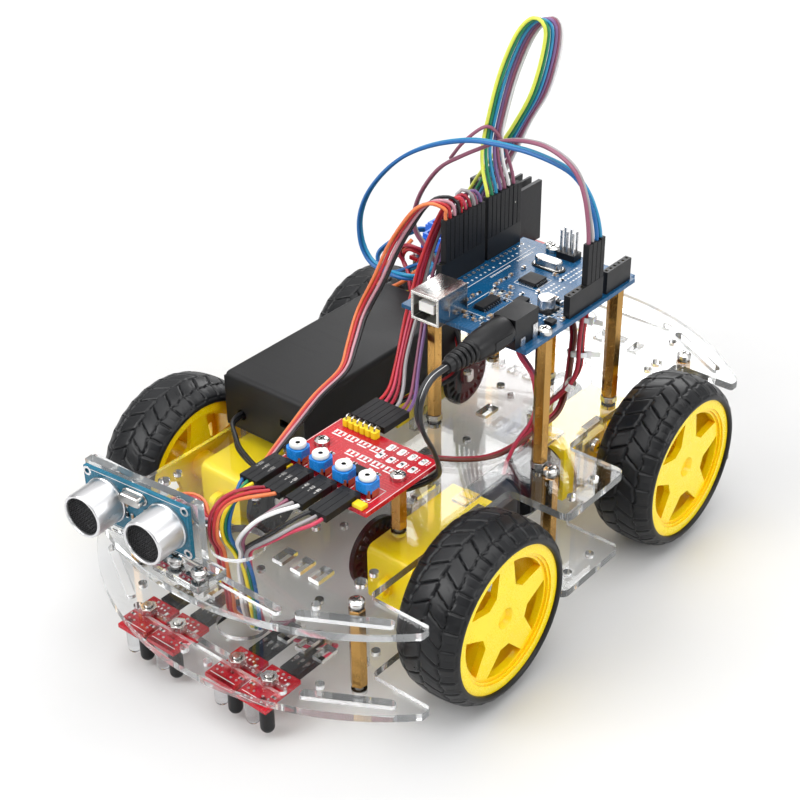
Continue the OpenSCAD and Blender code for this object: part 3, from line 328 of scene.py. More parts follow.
M["alu"] = surface("spun_aluminium", (0.74, 0.74, 0.75), rough=0.33, metal=1.0, var=0.05, var_size=5, rvar=0.1, grain=0.25, grain_mm=0.006, fine=0.02, occlusion_shade=0.3, stretch=(0.06, 1, 1))
M["mesh"] = surface("black_wire_mesh", (0.02, 0.02, 0.022), rough=0.45, metal=0.4, var=0.2, occlusion_shade=0.3)
M["gold"] = surface("gold_contact", (0.86, 0.66, 0.28), rough=0.25, metal=1.0, var=0.08, occlusion_shade=0.3, occlusion_mm=0.6)
M["solder"] = surface("solder", (0.74, 0.74, 0.75), rough=0.3, metal=1.0, var=0.2, var_size=1.5, rvar=0.2, grain=0.3, grain_mm=0.01, occlusion_shade=0.3, occlusion_mm=0.5)
M["epoxy"] = surface("chip_epoxy", (0.011, 0.011, 0.012), rough=0.52, spec=0.32, var=0.2, var_size=3, rvar=0.12, grain=0.12, grain_mm=0.01, occlusion_shade=0.35, occlusion_mm=0.8)
M["sink"] = surface("anodised_black", (0.009, 0.009, 0.011), rough=0.42, metal=0.15, spec=0.32, var=0.3, var_size=7, rvar=0.12, grain=0.2, grain_mm=0.006, stretch=(1, 1, 0.1), occlusion_shade=0.4, occlusion_mm=3)
M["blue"] = surface("blue_moulding", (0.012, 0.14, 0.68), rough=0.3, var=0.1, var_size=5, rvar=0.1, occlusion_shade=0.5, occlusion_shade_col=(0.0, 0.03, 0.25), occlusion_mm=1.5, sss=0.05)
M["trim"] = surface("trimmer_blue", (0.01, 0.22, 0.66), rough=0.27, var=0.1, var_size=4, occlusion_shade=0.4, occlusion_shade_col=(0.0, 0.05, 0.3), occlusion_mm=1.0, sss=0.05)
M["yhead"] = surface("header_yellow", (0.9, 0.66, 0.01), rough=0.35, var=0.08, occlusion_shade=0.5, occlusion_shade_col=(0.6, 0.3, 0.0), occlusion_mm=1.0)
M["red_button"] = surface("button_red", (0.55, 0.03, 0.02), rough=0.35, var=0.1)
M["cell"] = surface("cell_sleeve", (0.12, 0.3, 0.6), rough=0.28, var=0.08)
M["pcb_blue"] = board("blue_board", (0.003, 0.075, 0.185), 0.55)
M["pcb_red"] = board("red_board", (0.44, 0.004, 0.014), 0.45, 3.0)
M["pcb_teal"] = board("teal_board", (0.003, 0.115, 0.19), 0.5, 7.0)
M["silk"] = surface("silkscreen", (0.8, 0.82, 0.82), rough=0.5, var=0.08, var_size=2, occlusion_shade=0.1, fine=0)
M["ceramic"] = surface("ceramic_tan", (0.36, 0.24, 0.14), rough=0.45, var=0.15, var_size=1, occlusion_shade=0.3, occlusion_mm=0.5)
M["copper"] = surface("copper_leg", (0.55, 0.2, 0.1), rough=0.3, metal=0.8, var=0.15)
M["led"] = surface("led_clear_white", (0.85, 0.85, 0.78), rough=0.2, var=0.1, sss=0.2)
M["tie"] = surface("cable_tie", (0.85, 0.85, 0.84), rough=0.3, var=0.06, sss=0.2)
WIRE = {"yellow": (0.85, 0.68, 0.02), "lime": (0.72, 0.78, 0.10), "green": (0.01, 0.22, 0.10), "teal": (0.01, 0.33, 0.30), "blue": (0.008, 0.12, 0.36), "sky": (0.015, 0.25, 0.46),
        "purple": (0.19, 0.10, 0.25), "mauve": (0.27, 0.085, 0.14), "pink": (0.55, 0.28, 0.33), "grey": (0.34, 0.32, 0.33), "white": (0.82, 0.82, 0.82), "black": (0.012, 0.012, 0.014),
        "brown": (0.13, 0.035, 0.02), "red": (0.50, 0.022, 0.03), "orange": (0.74, 0.19, 0.06), "crimson": (0.34, 0.01, 0.03), "rose": (0.55, 0.05, 0.10)}
for k, c in WIRE.items():
    M["w_" + k] = surface("wire_" + k, c, rough=0.33, var=0.08, var_size=14, rvar=0.12, grain=0.4, grain_mm=0.01, fine=0.05, occlusion_shade=0.35, occlusion_mm=1.0, sss=0.04, off=len(k))

# ------------------------------------------------------------------ CAD nodes that are shown
SHOWN = {"upper_deck": ("acrylic", 0.0), "lower_deck": ("acrylic", 0.0), "hex_standoffs": ("brass", 0.18), "machine_screws": ("nickel", 0.12), "hex_nuts": ("nickel", 0.2),
         "motor_brackets": ("acrylic", 0.0), "gearbox_shells": ("box", 0.5), "motor_cans": ("can", 0.4), "motor_end_caps": ("black", 0.3), "motor_straps": ("strap", 0.15),
         "controller_board": ("pcb_blue", 0.12), "usb_socket": ("tin", 0.25), "power_jack": ("black", 0.3), "header_sockets": ("black", 0.1), "pin_headers": ("black", 0.1),
         "board_chips": ("epoxy", 0.1), "reset_switch_body": ("tin", 0.15), "reset_button": ("black", 0.25),
         "driver_board": ("pcb_red", 0.12), "heat_sink": ("sink", 0.2), "screw_terminals": ("blue", 0.25), "hub_board": ("pcb_red", 0.12), "hub_header": ("yhead", 0.12),
         "trimmer_bodies": ("trim", 0.2), "battery_case": ("case", 0.35), "battery_lid": ("case", 0.25), "battery_cells": ("cell", 0.4), "distance_board": ("pcb_teal", 0.12),
         "distance_bracket": ("acrylic", 0.0), "line_boards": ("pcb_red", 0.12), "line_detectors": ("black", 0.0), "line_emitters": ("lens", 0.0)}
for c in ("fl", "fr", "rl", "rr"):
    SHOWN["rim_" + c] = ("yellow", 0.45); SHOWN["axle_" + c] = ("white", 0.1); SHOWN["encoder_disc_" + c] = ("black", 0.15)
for i in range(4):
    SHOWN[f"trimmer_knob_{i + 1}"] = ("white", 0.25)
for name, (mk, bev) in SHOWN.items():
    o = N[name]; me = o.data
    me.materials.clear(); me.materials.append(M[mk])
    me.polygons.foreach_set("material_index", [0] * len(me.polygons))
    if "custom_normal" in me.attributes: me.attributes.remove(me.attributes["custom_normal"])
    w = o.modifiers.new("weld", "WELD"); w.merge_threshold = 2e-6
    if bev:
        me.polygons.foreach_set("use_smooth", [True] * len(me.polygons))
        b = o.modifiers.new("soft_edges", "BEVEL"); b.width = bev / 1000; b.segments = 2; b.limit_method = "ANGLE"; b.angle_limit = math.radians(38); b.harden_normals = True; b.use_clamp_overlap = True
    else:
        me.polygons.foreach_set("use_smooth", [False] * len(me.polygons))


# ------------------------------------------------------------------ tyres
def tyre(code):
    sx = 1 if code[0] == "f" else -1; sy = 1 if code[1] == "l" else -1
    cx, cy, cz = 56.5 * sx, 70.0 * sy, 33.0
    # half profile: (radius, offset from the mid plane), crown to bead
    prof = [(33.0, 0), (32.9, 2.8), (32.6, 5.6), (32.0, 8.2), (31.0, 10.3), (29.8, 11.8), (28.7, 12.55), (27.9, 12.8), (27.3, 12.6), (27.05, 12.0), (27.05, 11.0)]
    prof = [(r, -y) for r, y in prof[:0:-1]] + prof
    P = spline([(r, y, 0) for r, y in prof], 0.42)[:, :2]
    s = np.concatenate([[0], np.cumsum(np.hypot(*np.diff(P, axis=0).T))]); s = s - s[-1] / 2
    pitches, per = 30, 22
    n = pitches * per
    th = np.arange(n) / per                                      # in pitches
    S, T = np.meshgrid(s, th, indexing="ij")
    a = np.abs(S)
    def groove(d, w, e): return np.clip(1 - (np.abs(d) - w) / e, 0, 1)
    def wrap(x): return (x + 0.5) % 1.0 - 0.5
    side = np.where(S >= 0, 0.0, 0.5)
    mid = (a < 7.0) * np.clip((a - 0.25) / 0.4, 0, 1)
    g = groove(wrap(T - 0.085 * a + side), 0.028, 0.045) * mid                                              # slanted grooves of the middle bars
    g = np.maximum(g, groove(wrap(T - 0.085 * a + side - 0.30), 0.0, 0.045) * (a < 5.2) * (a > 3.2) * 0.35)  # short sipes
    g = np.maximum(g, groove(a - 0.15, 0.12, 0.35) * groove(wrap(T + side), 0.30, 0.08) * 0.9)
    g = np.maximum(g, groove(a - 7.2 - 0.45 * np.sin(2 * np.pi * (T + side)), 0.12, 0.3) * 0.85)           # wavy ring groove
    g = np.maximum(g, groove(wrap(T + side - 0.62), 0.04, 0.045) * (a > 7.5) * np.clip((12.6 - a) / 0.5, 0, 1))
    g = np.maximum(g, groove(wrap(T + side - 0.12), 0.0, 0.04) * (a > 9.6) * (a < 11.2) * 0.5)
    g = np.maximum(g, groove(a - 12.9, 0.05, 0.3) * groove(wrap(T + side - 0.12), 0.36, 0.06) * 0.6)
    g = np.maximum(g, groove(a - 15.0, 0.06, 0.4) * 0.3)
    g = g * g * (3 - 2 * g)
    d = g * 0.62 + 0.10 * np.cos(2 * np.pi * (T + side - 0.12)) * (a > 7.5) * (a < 12.6)
    dP = np.gradient(P, axis=0); nr = np.stack([dP[:, 1], -dP[:, 0]], 1); nr /= np.linalg.norm(nr, axis=1)[:, None]
    nr *= np.sign(nr[len(nr) // 2, 0])
    R = P[:, 0:1] - nr[:, 0:1] * d; Y = P[:, 1:2] - nr[:, 1:2] * d
    A = 2 * np.pi * np.arange(n)[None, :] / n
    v = np.stack([R * np.sin(A) * 1.0, Y + 0 * A, R * np.cos(A)], -1).reshape(-1, 3) + (cx, cy, cz)
    m = len(P)
    i, j = np.meshgrid(np.arange(m - 1), np.arange(n), indexing="ij")
    k = (j + 1) % n
    f = np.stack([i * n + j, (i + 1) * n + j, (i + 1) * n + k, i * n + k], -1).reshape(-1, 4)
    mb = MB(); mb.v.append(v); mb.f = [tuple(x) for x in f[:, ::-1].tolist()]; mb.m = [0] * len(f); mb.n = len(v)
    # inner wall that seats on the rim
    base = mb.n
    ends = [list(range(0, n)), list(range((m - 1) * n, m * n))]
    ring = [[], []]
    for q, (rr, yy) in enumerate(((26.95, -11.2), (26.95, 11.2))):
        vv = np.stack([rr * np.sin(A[0]), 0 * A[0] + yy, rr * np.cos(A[0])], -1) + (cx, cy, cz)
        mb.v.append(vv); ring[q] = list(range(mb.n, mb.n + n)); mb.n += n
    for j in range(n):
        k = (j + 1) % n
        mb.f += [(ends[0][j], ends[0][k], ring[0][k], ring[0][j]), (ends[1][k], ends[1][j], ring[1][j], ring[1][k]), (ring[0][j], ring[0][k], ring[1][k], ring[1][j])]
        mb.m += [0, 0, 0]
    o = mb.make("tyre_tread_" + code, "wheel_" + code, M["tyre"], sharp=60, replaces=["tyre_" + code])
    return o


for c in ("fl", "fr", "rl", "rr"): tyre(c)


# ------------------------------------------------------------------ wiring
def strands(mb, ctrl, cols, r=0.66, wob=0.12, seed=1, n=9, mats=None, step=1.2):
    """ctrl rows: x, y, z, across x, y, z, pitch. One strand per entry of cols (material index)."""
    C = np.asarray(ctrl, float)
    Q = spline(C, step)
    P = Q[:, :3]
    T = np.gradient(P, axis=0); T /= np.linalg.norm(T, axis=1)[:, None]
    A = Q[:, 3:6] - T * np.sum(Q[:, 3:6] * T, axis=1)[:, None]
    A /= np.linalg.norm(A, axis=1)[:, None]
    W = np.cross(T, A)
    rng = np.random.RandomState(seed)
    L = np.concatenate([[0], np.cumsum(np.linalg.norm(np.diff(P, axis=0), axis=1))]); L /= max(L[-1], 1e-6)
    fade = np.clip(np.minimum(L, 1 - L) / 0.12, 0, 1)
    for k, c in enumerate(cols):
        off = (k - (len(cols) - 1) / 2) * Q[:, 6]
        w1 = sum(rng.randn() * np.sin((i + 1) * np.pi * L + rng.rand() * 6) / (i + 1) for i in range(4)) * wob * fade
        w2 = sum(rng.randn() * np.sin((i + 1) * np.pi * L + rng.rand() * 6) / (i + 1) for i in range(4)) * wob * fade
        mb.tube(P + A * (off + w1)[:, None] + W * w2[:, None], r, n, c)


WK = list(WIRE)
WM = [M["w_" + k] for k in WK]
def wi(*names): return [WK.index(k) for k in names]
X_, Y_, Z_ = (1, 0, 0), (0, 1, 0), (0, 0, 1)
def row(p, a, pitch): return (*p, *a, pitch)


# tall loop from the rear of the long row to the driver's pins
loop = [((-38.87, 3.4, 126), (-1, 0, 0), 2.54), ((-38.87, 3.2, 131), (-1, 0, 0), 2.54), ((-39.6, 0.4, 137), (-0.95, 0.2, 0), 2.0), ((-41, -1.6, 145), (-0.85, 0.5, 0), 1.5), ((-42, -0.6, 154.8), (-0.8, 0.6, 0), 1.36), ((-43, 3.4, 172.1), (-0.78, 0.6, -0.2), 1.36),
        ((-44, 9.4, 187.5), (-0.8, 0.45, -0.35), 1.36), ((-45, 15, 194), (-0.9, 0.3, -0.3), 1.36), ((-46, 19.3, 192.9), (-0.9, 0.3, 0.2), 1.36), ((-47, 18.7, 183.4), (-0.85, 0.5, 0), 1.36), ((-48, 14, 167.6), (-0.85, 0.52, 0), 1.36),
        ((-49, 6.5, 154.3), (-0.9, 0.4, 0), 1.36), ((-50, -1.3, 140.5), (-0.7, 0.7, 0), 1.4), ((-51, -9.4, 126.9), (-0.4, 0.9, 0), 1.6), ((-52.4, -16.6, 113.3), (-0.1, 1, 0.1), 2.0), ((-53.2, -18.9, 104), (0, 1, 0), 2.5), ((-53.2, -18.95, 97), (0, 1, 0), 2.54)]
mb = MB(); strands(mb, [row(*q) for q in loop], wi("lime", "green", "sky", "purple", "mauve", "white"), seed=3)
# blue pair and grey pair: power row over to the driver's far side
blue = [(-52.5, -35.5, 86.6), (-46, -33, 87), (-36, -25, 90), (-26, -22, 92), (-21.5, -25, 92.6), (-20.6, -30.5, 92.2), (-21.3, -37.2, 92.0), (-21.9, -43.4, 93.1), (-22.5, -48, 97.8), (-23.2, -50, 104), (-23.8, -49.9, 110.8), (-24.4, -46.5, 119.8), (-25.1, -39.5, 129.6), (-25.7, -30.4, 138.3), (-26.3, -20, 144.8), (-26.9, -8.4, 149.7),
        (-27.6, 3.3, 152.7), (-28.2, 18.5, 153.7), (-28.8, 27.2, 153.3), (-29.5, 35.8, 151.7), (-30.1, 41.6, 149.3), (-30.7, 46.5, 144), (-31.1, 49.6, 137.5), (-31.25, 51.3, 131), (-31.25, 51.66, 125)]
ac = [(0, 0.3, 1)] * 5 + [(-1, 0.2, 0.4)] * 4 + [(-1, 0, 0.1)] * 16
mb2 = MB(); strands(mb2, [row(p, a, 1.25 if i < 22 else 2.54 * (0.6 + 0.2 * (i - 22))) for i, (p, a) in enumerate(zip(blue, ac))], wi("blue", "sky"), seed=5, r=0.74)
mauve = [(-52.5, -29.5, 86.6), (-46, -29, 88), (-38, -25, 93), (-35.3, -25.9, 98.6), (-34.5, -30.2, 102.7), (-33.9, -32.2, 108.4), (-33.4, -30.5, 116.3), (-32.9, -26.1, 125.1), (-32.3, -17.9, 135.5), (-31.8, -7.2, 143.1), (-31.3, 0.6, 147.9), (-30.7, 8.2, 152.3), (-30.2, 15.5, 155.2), (-29.7, 23, 156.8), (-29.1, 30.3, 157.1), (-28.4, 37.5, 155.5),
         (-27.6, 43.8, 152), (-26.9, 47.9, 145.5), (-26.4, 50.3, 137.5), (-26.17, 51.5, 130.5), (-26.17, 51.66, 125)]
strands(mb2, [row(p, (-1, 0, 0.1) if i > 3 else (-1, 0.2, 0.6), 1.25 if i < 18 else 2.54 * (0.6 + 0.2 * (i - 18))) for i, p in enumerate(mauve)], wi("mauve", "grey"), seed=8, r=0.74)
# single lead from the rear of the long row
strands(mb, [row(p, X_, 1) for p in [(-48.0, 3.4, 126), (-48.0, 3.4, 131), (-47.4, 2.0, 137), (-45.5, 1.2, 143), (-42, 1.0, 149), (-37, 3, 152), (-34, 7, 153.5)]][:5] + [row((-38.5, -2, 153.5), X_, 1), row((-35, -9, 147), X_, 1), row((-34.2, -15, 139), X_, 1)], wi("mauve"), seed=9)
mb.make("loop_leads", "chassis", WM, sharp=60, replaces=["jumper_wires"])
mb2.make("arched_leads", "chassis", WM, sharp=60)

# ribbon from the distance sensor to the front of the long row
us_T = Matrix.Translation((121.8, -21, 67)) @ Matrix.Rotation(math.radians(5), 4, "Z")
def US(x, y, z): return tuple(us_T @ Vector((x, y, z)))
a0 = tuple(us_T.to_3x3() @ Vector((0, 1, 0)))
sens = [(US(-19, 0, -8.3), a0, 2.54), ((98.0, -22.9, 58.7), a0, 2.4), ((96.3, -20.6, 58.3), (0.8, 0.6, 0), 1.7), ((97.2, -17.6, 57.0), (0.9, -0.4, 0), 1.42), ((99.3, -14.8, 55.4), (0.9, -0.3, 0), 1.38), ((98.8, -12.5, 54.6), (0.7, 0.6, 0), 1.36), ((95, -12.4, 54.2), (-0.2, 1, 0), 1.36),
        ((90, -14.2, 54.0), (-0.3, 0.95, 0), 1.36), ((85, -15.4, 54.6), (0, 1, 0), 1.36), ((80, -13.4, 57.5), (0.4, 0.75, 0.1), 1.36), ((76, -9.8, 63.5), (0.5, 0.8, 0.1), 1.36), ((70.5, -8.2, 69.2), (0.45, 0.85, 0.2), 1.36), ((58.9, -9.0, 74.0), (0.45, 0.85, 0.2), 1.36), ((42.6, -12.8, 76.5), (0.45, 0.85, 0.2), 1.36),
        ((27.3, -14.4, 79), (0.4, 0.85, 0.1), 1.36), ((18.0, -18.4, 83.5), (0.2, 0.95, -0.1), 1.36), ((9.0, -21.2, 91.8), (0.0, 0.9, -0.3), 1.36), ((4.0, -17.1, 104.5), (-0.3, 0.85, -0.3), 1.36), ((0.5, -12.8, 117.7), (-0.6, 0.7, -0.3), 1.36), ((-2.5, -7.5, 128.5), (-0.8, 0.5, -0.2), 1.36), ((-4.6, -4.7, 133.2), (-1, 0.3, 0), 1.4),
        ((-7.2, -1.7, 135.5), (-1, 0.1, 0), 1.6), ((-10.0, 0.9, 134.9), (-1, 0, 0), 2.0), ((-11.8, 3.0, 134.0), (-1, 0, 0), 2.45), ((-11.95, 3.4, 130), (-1, 0, 0), 2.54), ((-11.95, 3.4, 125), (-1, 0, 0), 2.54)]
mb = MB(); strands(mb, [row(*q) for q in sens], wi("orange", "red", "pink", "black"), seed=12, wob=0.08)
mb.make("distance_sensor_ribbon", "chassis", WM, sharp=60, replaces=["sensor_ribbon"])

# leads from the hub's rear row to the long row
h6 = []
def conn(y, n): return ((28.6, y, 72.1), (0, 1, 0), 2.54)
hub_a = [((30, 5.6, 72.1), Y_, 2.54), ((26, 5.4, 72.4), Y_, 2.5), ((20, 3.6, 74.6), Y_, 1.8), ((12, -0.8, 80), (0.2, 1, 0), 1.38), ((4, -4.0, 88.5), (-0.3, 0.9, 0.2), 1.36), ((-1, -4.9, 96.8), (-0.7, 0.6, 0.2), 1.36), ((-4, -4.3, 107.1), (-0.9, 0.4, 0.1), 1.36),
         ((-8, -3.7, 116.7), (-1, 0.2, 0), 1.4), ((-13, -2.1, 127), (-1, 0.1, 0), 1.5), ((-16.6, -0.2, 133), (-1, 0, 0), 1.8), ((-19.2, 1.9, 134.6), (-1, 0, 0), 2.3), ((-20.84, 3.2, 132), (-1, 0, 0), 2.5), ((-20.84, 3.4, 129), (-1, 0, 0), 2.54), ((-20.84, 3.4, 125), (-1, 0, 0), 2.54)]
hub_b = [((30, 13.2, 72.1), Y_, 2.54), ((26, 13.0, 72.3), Y_, 2.4), ((19, 10.4, 73.6), Y_, 1.7), ((10, 5.0, 78.5), (0.2, 1, 0), 1.36), ((1, 0.5, 88.5), (-0.2, 0.9, 0.2), 1.36), ((-4, -1.2, 97.8), (-0.6, 0.7, 0.2), 1.36), ((-8.5, -1.3, 108.1), (-0.8, 0.5, 0.1), 1.36),
         ((-14, -1.5, 118.7), (-1, 0.2, 0), 1.4), ((-20.5, -1.0, 128.5), (-1, 0.1, 0), 1.6), ((-24.4, 0.4, 133.4), (-1, 0, 0), 2.0), ((-26.6, 2.2, 133.6), (-1, 0, 0), 2.3), ((-27.19, 3.3, 130.5), (-1, 0, 0), 2.5), ((-27.19, 3.4, 125), (-1, 0, 0), 2.54)]
mb = MB(); strands(mb, [row(*q) for q in hub_a], wi("red", "rose", "crimson", "grey"), seed=21, wob=0.1); strands(mb, [row(*q) for q in hub_b], wi("mauve", "purple"), seed=22, wob=0.1)
# line sensor leads: out of the front housings, gathered, down through both cable holes and forward under the lower deck
cols4 = [("blue", "green", "yellow"), ("crimson", "red", "orange"), ("mauve", "grey", "white"), ("black", "grey", "rose")]
lsy = [-28.5, -14, 14, 28.5]
D_ = (0.45, 0.85, 0.1)
L_ = (0.64, -0.77, 0.05)
down = [
    [((91.8, -0.4, 71.9), (0, 1, 0), 2.4), ((97.4, 0.4, 70.2), (0.1, 0.75, 0.6), 1.6), ((101.8, 0.6, 66.0), (0.5, 0.1, 0.8), 1.36), ((104.0, 1.2, 61), (0.72, -0.5, 0.4), 1.3), ((104.2, 2.6, 56.4), L_, 1.3), ((102.2, 3.8, 52.0), L_, 1.25), ((100.6, 6.2, 44), L_, 1.3), ((100.3, 7.6, 36), L_, 1.3), ((99.4, 7.2, 28), L_, 1.3), ((97.2, 5.2, 17), (0.3, -0.95, 0), 1.25)],
    [((91.9, 9.9, 72.5), (0, 1, 0), 2.4), ((98.0, 6.9, 73.7), (-0.2, 0.8, -0.5), 1.6), ((104.0, 3.4, 73.3), (-0.4, 0.5, -0.75), 1.36), ((108.2, 2.0, 70.3), (-0.6, 0.55, -0.55), 1.3), ((109.6, 1.4, 65.0), (-0.64, 0.75, -0.15), 1.3), ((109.2, 0.8, 59.5), (-0.64, 0.77, 0), 1.3), ((106.9, -0.5, 55.2), (-0.64, 0.77, 0), 1.3), ((104.4, -1.8, 50.8), (-0.64, 0.77, 0), 1.25), ((104.3, -1.4, 45), (-0.64, 0.77, 0), 1.3), ((103.2, -1.8, 38), (-0.5, 0.85, 0), 1.3), ((101.2, -2.6, 28), (-0.4, 0.9, 0), 1.3), ((98.4, -4.4, 17), (-0.3, 0.9, 0), 1.3)],
    [((92, 20.0, 72.3), (0, 1, 0), 2.4), ((97.6, 17.4, 71.0), (0.1, 0.8, 0.5), 1.7), ((101.6, 13.4, 67.4), (0.3, 0.4, 0.8), 1.4), ((103.8, 9.4, 62), (0.5, 0.1, 0.8), 1.3), ((104.0, 6.6, 56.6), (0.62, -0.6, 0.4), 1.3), ((102.0, 6.0, 52.2), L_, 1.25), ((101.8, 4.4, 44), L_, 1.3), ((101.6, 4.9, 36), L_, 1.3), ((100.4, 4.0, 28), L_, 1.3), ((96.9, 2.4, 17), (0.4, -0.9, 0), 1.25)],
    [((92, 30.0, 71.4), (0, 1, 0), 2.4), ((96.2, 25.0, 68.0), (-0.1, 0.9, -0.3), 1.7), ((99.4, 17.8, 61.6), (-0.3, 0.8, -0.4), 1.36), ((101.0, 11.2, 56.2), (-0.4, 0.8, -0.3), 1.3), ((100.8, 7.2, 52.2), (-0.6, 0.75, 0), 1.25), ((100.2, 5.6, 44), (-0.64, 0.77, 0), 1.3), ((99.6, 6.0, 36), (-0.64, 0.77, 0), 1.3), ((98.4, 5.8, 28), (-0.64, 0.77, 0), 1.3), ((95.2, 4.6, 17), (-0.3, 0.9, 0), 1.25)]]
for i in range(4):
    yy = 0.1 + i * 10.16; k = [-4.6, -1.6, 1.6, 4.6][i]
    path = [((89.5, yy, 72.0), Y_, 2.54)] + down[i] + [((90.5, k * 0.9, 10.4), Y_, 1.36), ((86.5, lsy[i] * 0.35 + k * 0.6, 8.4), Y_, 1.36), ((83.5, lsy[i] * 0.75, 9.0), Y_, 1.6), ((85.5, lsy[i] * 0.99, 12.2), Y_, 2.2), ((91.4, lsy[i], 13.4), Y_, 2.5), ((94.5, lsy[i], 13.4), Y_, 2.54)]
    strands(mb, [row(*q) for q in path], wi(*cols4[i]), seed=30 + i, wob=0.3, r=0.68 if i != 2 else 0.72)
mb.make("hub_lead_bundles", "chassis", WM, sharp=60, replaces=["hub_leads"])

# motor leads
def pair(mb, pts, cols, pitch=1.7, r=0.85, seed=1, a=(0.3, 1, 0.2), wob=0.35):
    strands(mb, [row(p, a, pitch) for p in pts], wi(*cols), r=r, seed=seed, wob=wob)
mb = MB()
rear = [(-52.5, 20, 84.0), (-46, 33, 92), (-40.5, 41, 96), (-38, 43.3, 93.9), (-36.4, 43.6, 88.5), (-34.8, 44.3, 82.3), (-33.2, 45.4, 75.6), (-31.6, 44.7, 70.3), (-29.5, 41.1, 64.0), (-26, 36, 57), (-22, 33.5, 50), (-16, 34, 42), (-8, 36, 36), (-4.2, 38, 33.5)]
rear[0:2] = [(-58, 2, 84.5), (-50, 24, 88)]
pair(mb, rear, ("red", "black", "crimson"), 1.7, 0.85, 41, (1, 0.2, 0.1), 0.3)
fl = [(-24, 22, 92), (-16, 31, 90), (-10, 35.5, 87.5), (-8, 40.5, 85.3), (-6, 45, 82.7), (-4, 47.7, 73.2), (-2, 46.4, 65.4), (0, 42.5, 58), (2, 40, 50), (3.2, 39.2, 42), (3.8, 38.6, 35)]
pair(mb, fl, ("mauve", "rose"), 1.5, 0.75, 42, (1, 0.2, 0.1), 0.3)
pair(mb, [(4.2, -38, 33.5), (5, -30, 38), (2, -22, 43.5), (-10, -18, 45.6), (-24, -14.5, 46), (-33, -11.5, 50), (-38, -14, 62), (-44, -28, 74), (-49.5, -37, 84)], ("red", "black"), 1.7, 0.85, 43, (0.8, 0.5, 0.1))
pair(mb, [(-4.2, -38, 33.5), (-8, -31, 39), (-16, -24, 44), (-26, -17, 46), (-34, -15, 50), (-42, -22, 62), (-46, -38, 72), (-49, -44, 78), (-50.5, -41.5, 84)], ("red", "black"), 1.7, 0.85, 44, (0.8, 0.5, 0.1))
# loops at the driver's terminals
pair(mb, [(-57, -40, 85.2), (-50, -41, 86.6), (-47.5, -45.5, 88.6), (-48.5, -49.8, 85), (-49, -50, 80.5), (-47, -45.5, 77.6), (-44, -42, 72), (-42, -38, 62), (-40, -30, 53.4)], ("red", "crimson"), 1.7, 0.85, 45, (0.4, 0.2, 1))
pair(mb, [(-57, -30, 85.2), (-49, -34, 84.5), (-46.5, -40, 80.5), (-46, -46.5, 74), (-45.5, -54, 68.8), (-45.5, -60, 68), (-47, -62, 72), (-52, -56, 80), (-59, -53.5, 85)], ("orange",), 1.7, 0.85, 46, (0.4, 0.2, 1))
pair(mb, [(-57, -35, 85.2), (-49.5, -38, 83.4), (-47.3, -43, 80.8), (-47, -50, 76.4), (-47, -56, 74.4), (-47.5, -61, 75.6), (-49, -63, 80), (-55, -58, 86), (-64, -52, 88.5), (-66.5, -48.5, 85.5)], ("sky", "blue"), 1.45, 0.7, 47, (0.4, 0.2, 1))
# pair along the deck from the battery side to the hub
pair(mb, [(46, 6, 52.4), (34, 10, 52.3), (22, 18, 52.2), (15.5, 28, 52.2), (8.1, 35.3, 52.2), (-2.6, 38.6, 52.3), (-15.4, 38.8, 53), (-27.1, 41.0, 56), (-34.3, 39.8, 63), (-38.7, 38.2, 72), (-46, 34, 80), (-54, 24, 84.5)], ("crimson", "brown"), 1.5, 0.75, 48, (0.5, 0.8, 0), 0.2)
# cable ties
for x, y, z, dx, dy, dz in ((-37.4, 43.4, 91.5, 0.3, 0.05, -1), (-33.9, 44.9, 79, 0.25, 0.18, -1), (-31.0, 43.6, 67.5, 0.25, -0.5, -1)):
    q = Vector((dx, dy, dz)).to_track_quat("Z", "Y").to_matrix().to_4x4()
    T = Matrix.Translation((x, y, z)) @ q
    mb.lathe([(2.75, -0.9), (3.15, -0.9), (3.15, 0.9), (2.75, 0.9)], 20, len(WM), T @ Matrix.Diagonal((1.05, 0.62, 1, 1)), cap=False)
    mb.box(2.3, -1.2, -1.2, 4.2, 1.2, 1.2, len(WM), T); mb.box(4.0, -0.5, -0.9, 7.5, -0.1, 0.9, len(WM), T)
mb.make("motor_lead_bundles", "chassis", WM + [M["tie"]], sharp=60, replaces=["motor_leads"])

# battery lead with its moulded plug
mb = MB()
lead = [(46.5, -46.5, 57.5), (50.5, -46.4, 57.8), (54.5, -45.4, 57.0), (57, -41, 55.0), (60.5, -36, 53.6), (65, -22, 53.2), (65, -4, 53.2), (62, 10, 53.4), (54, 20, 54), (46.4, 28, 56), (43, 34.5, 60), (43.4, 39.8, 65), (45.6, 43.4, 70), (49.0, 45.4, 76.2), (53, 46.5, 83.8), (58.3, 47.0, 92.9), (61.1, 47.2, 100.9), (59.1, 47.0, 107.5), (54.5, 46.6, 110.9), (48.5, 46.45, 111.5), (42.5, 46.45, 111.5)]
la = [(0, 0, 1)] * 4 + [(0.3, 0.9, 0.3)] * 6 + [(0.6, 0.8, 0)] * 6 + [(0, 1, 0)] * 5
strands(mb, [row(p, a, 1.4) for p, a in zip(lead, la)], [1, 1], r=0.82, wob=0.0, seed=50, n=12)
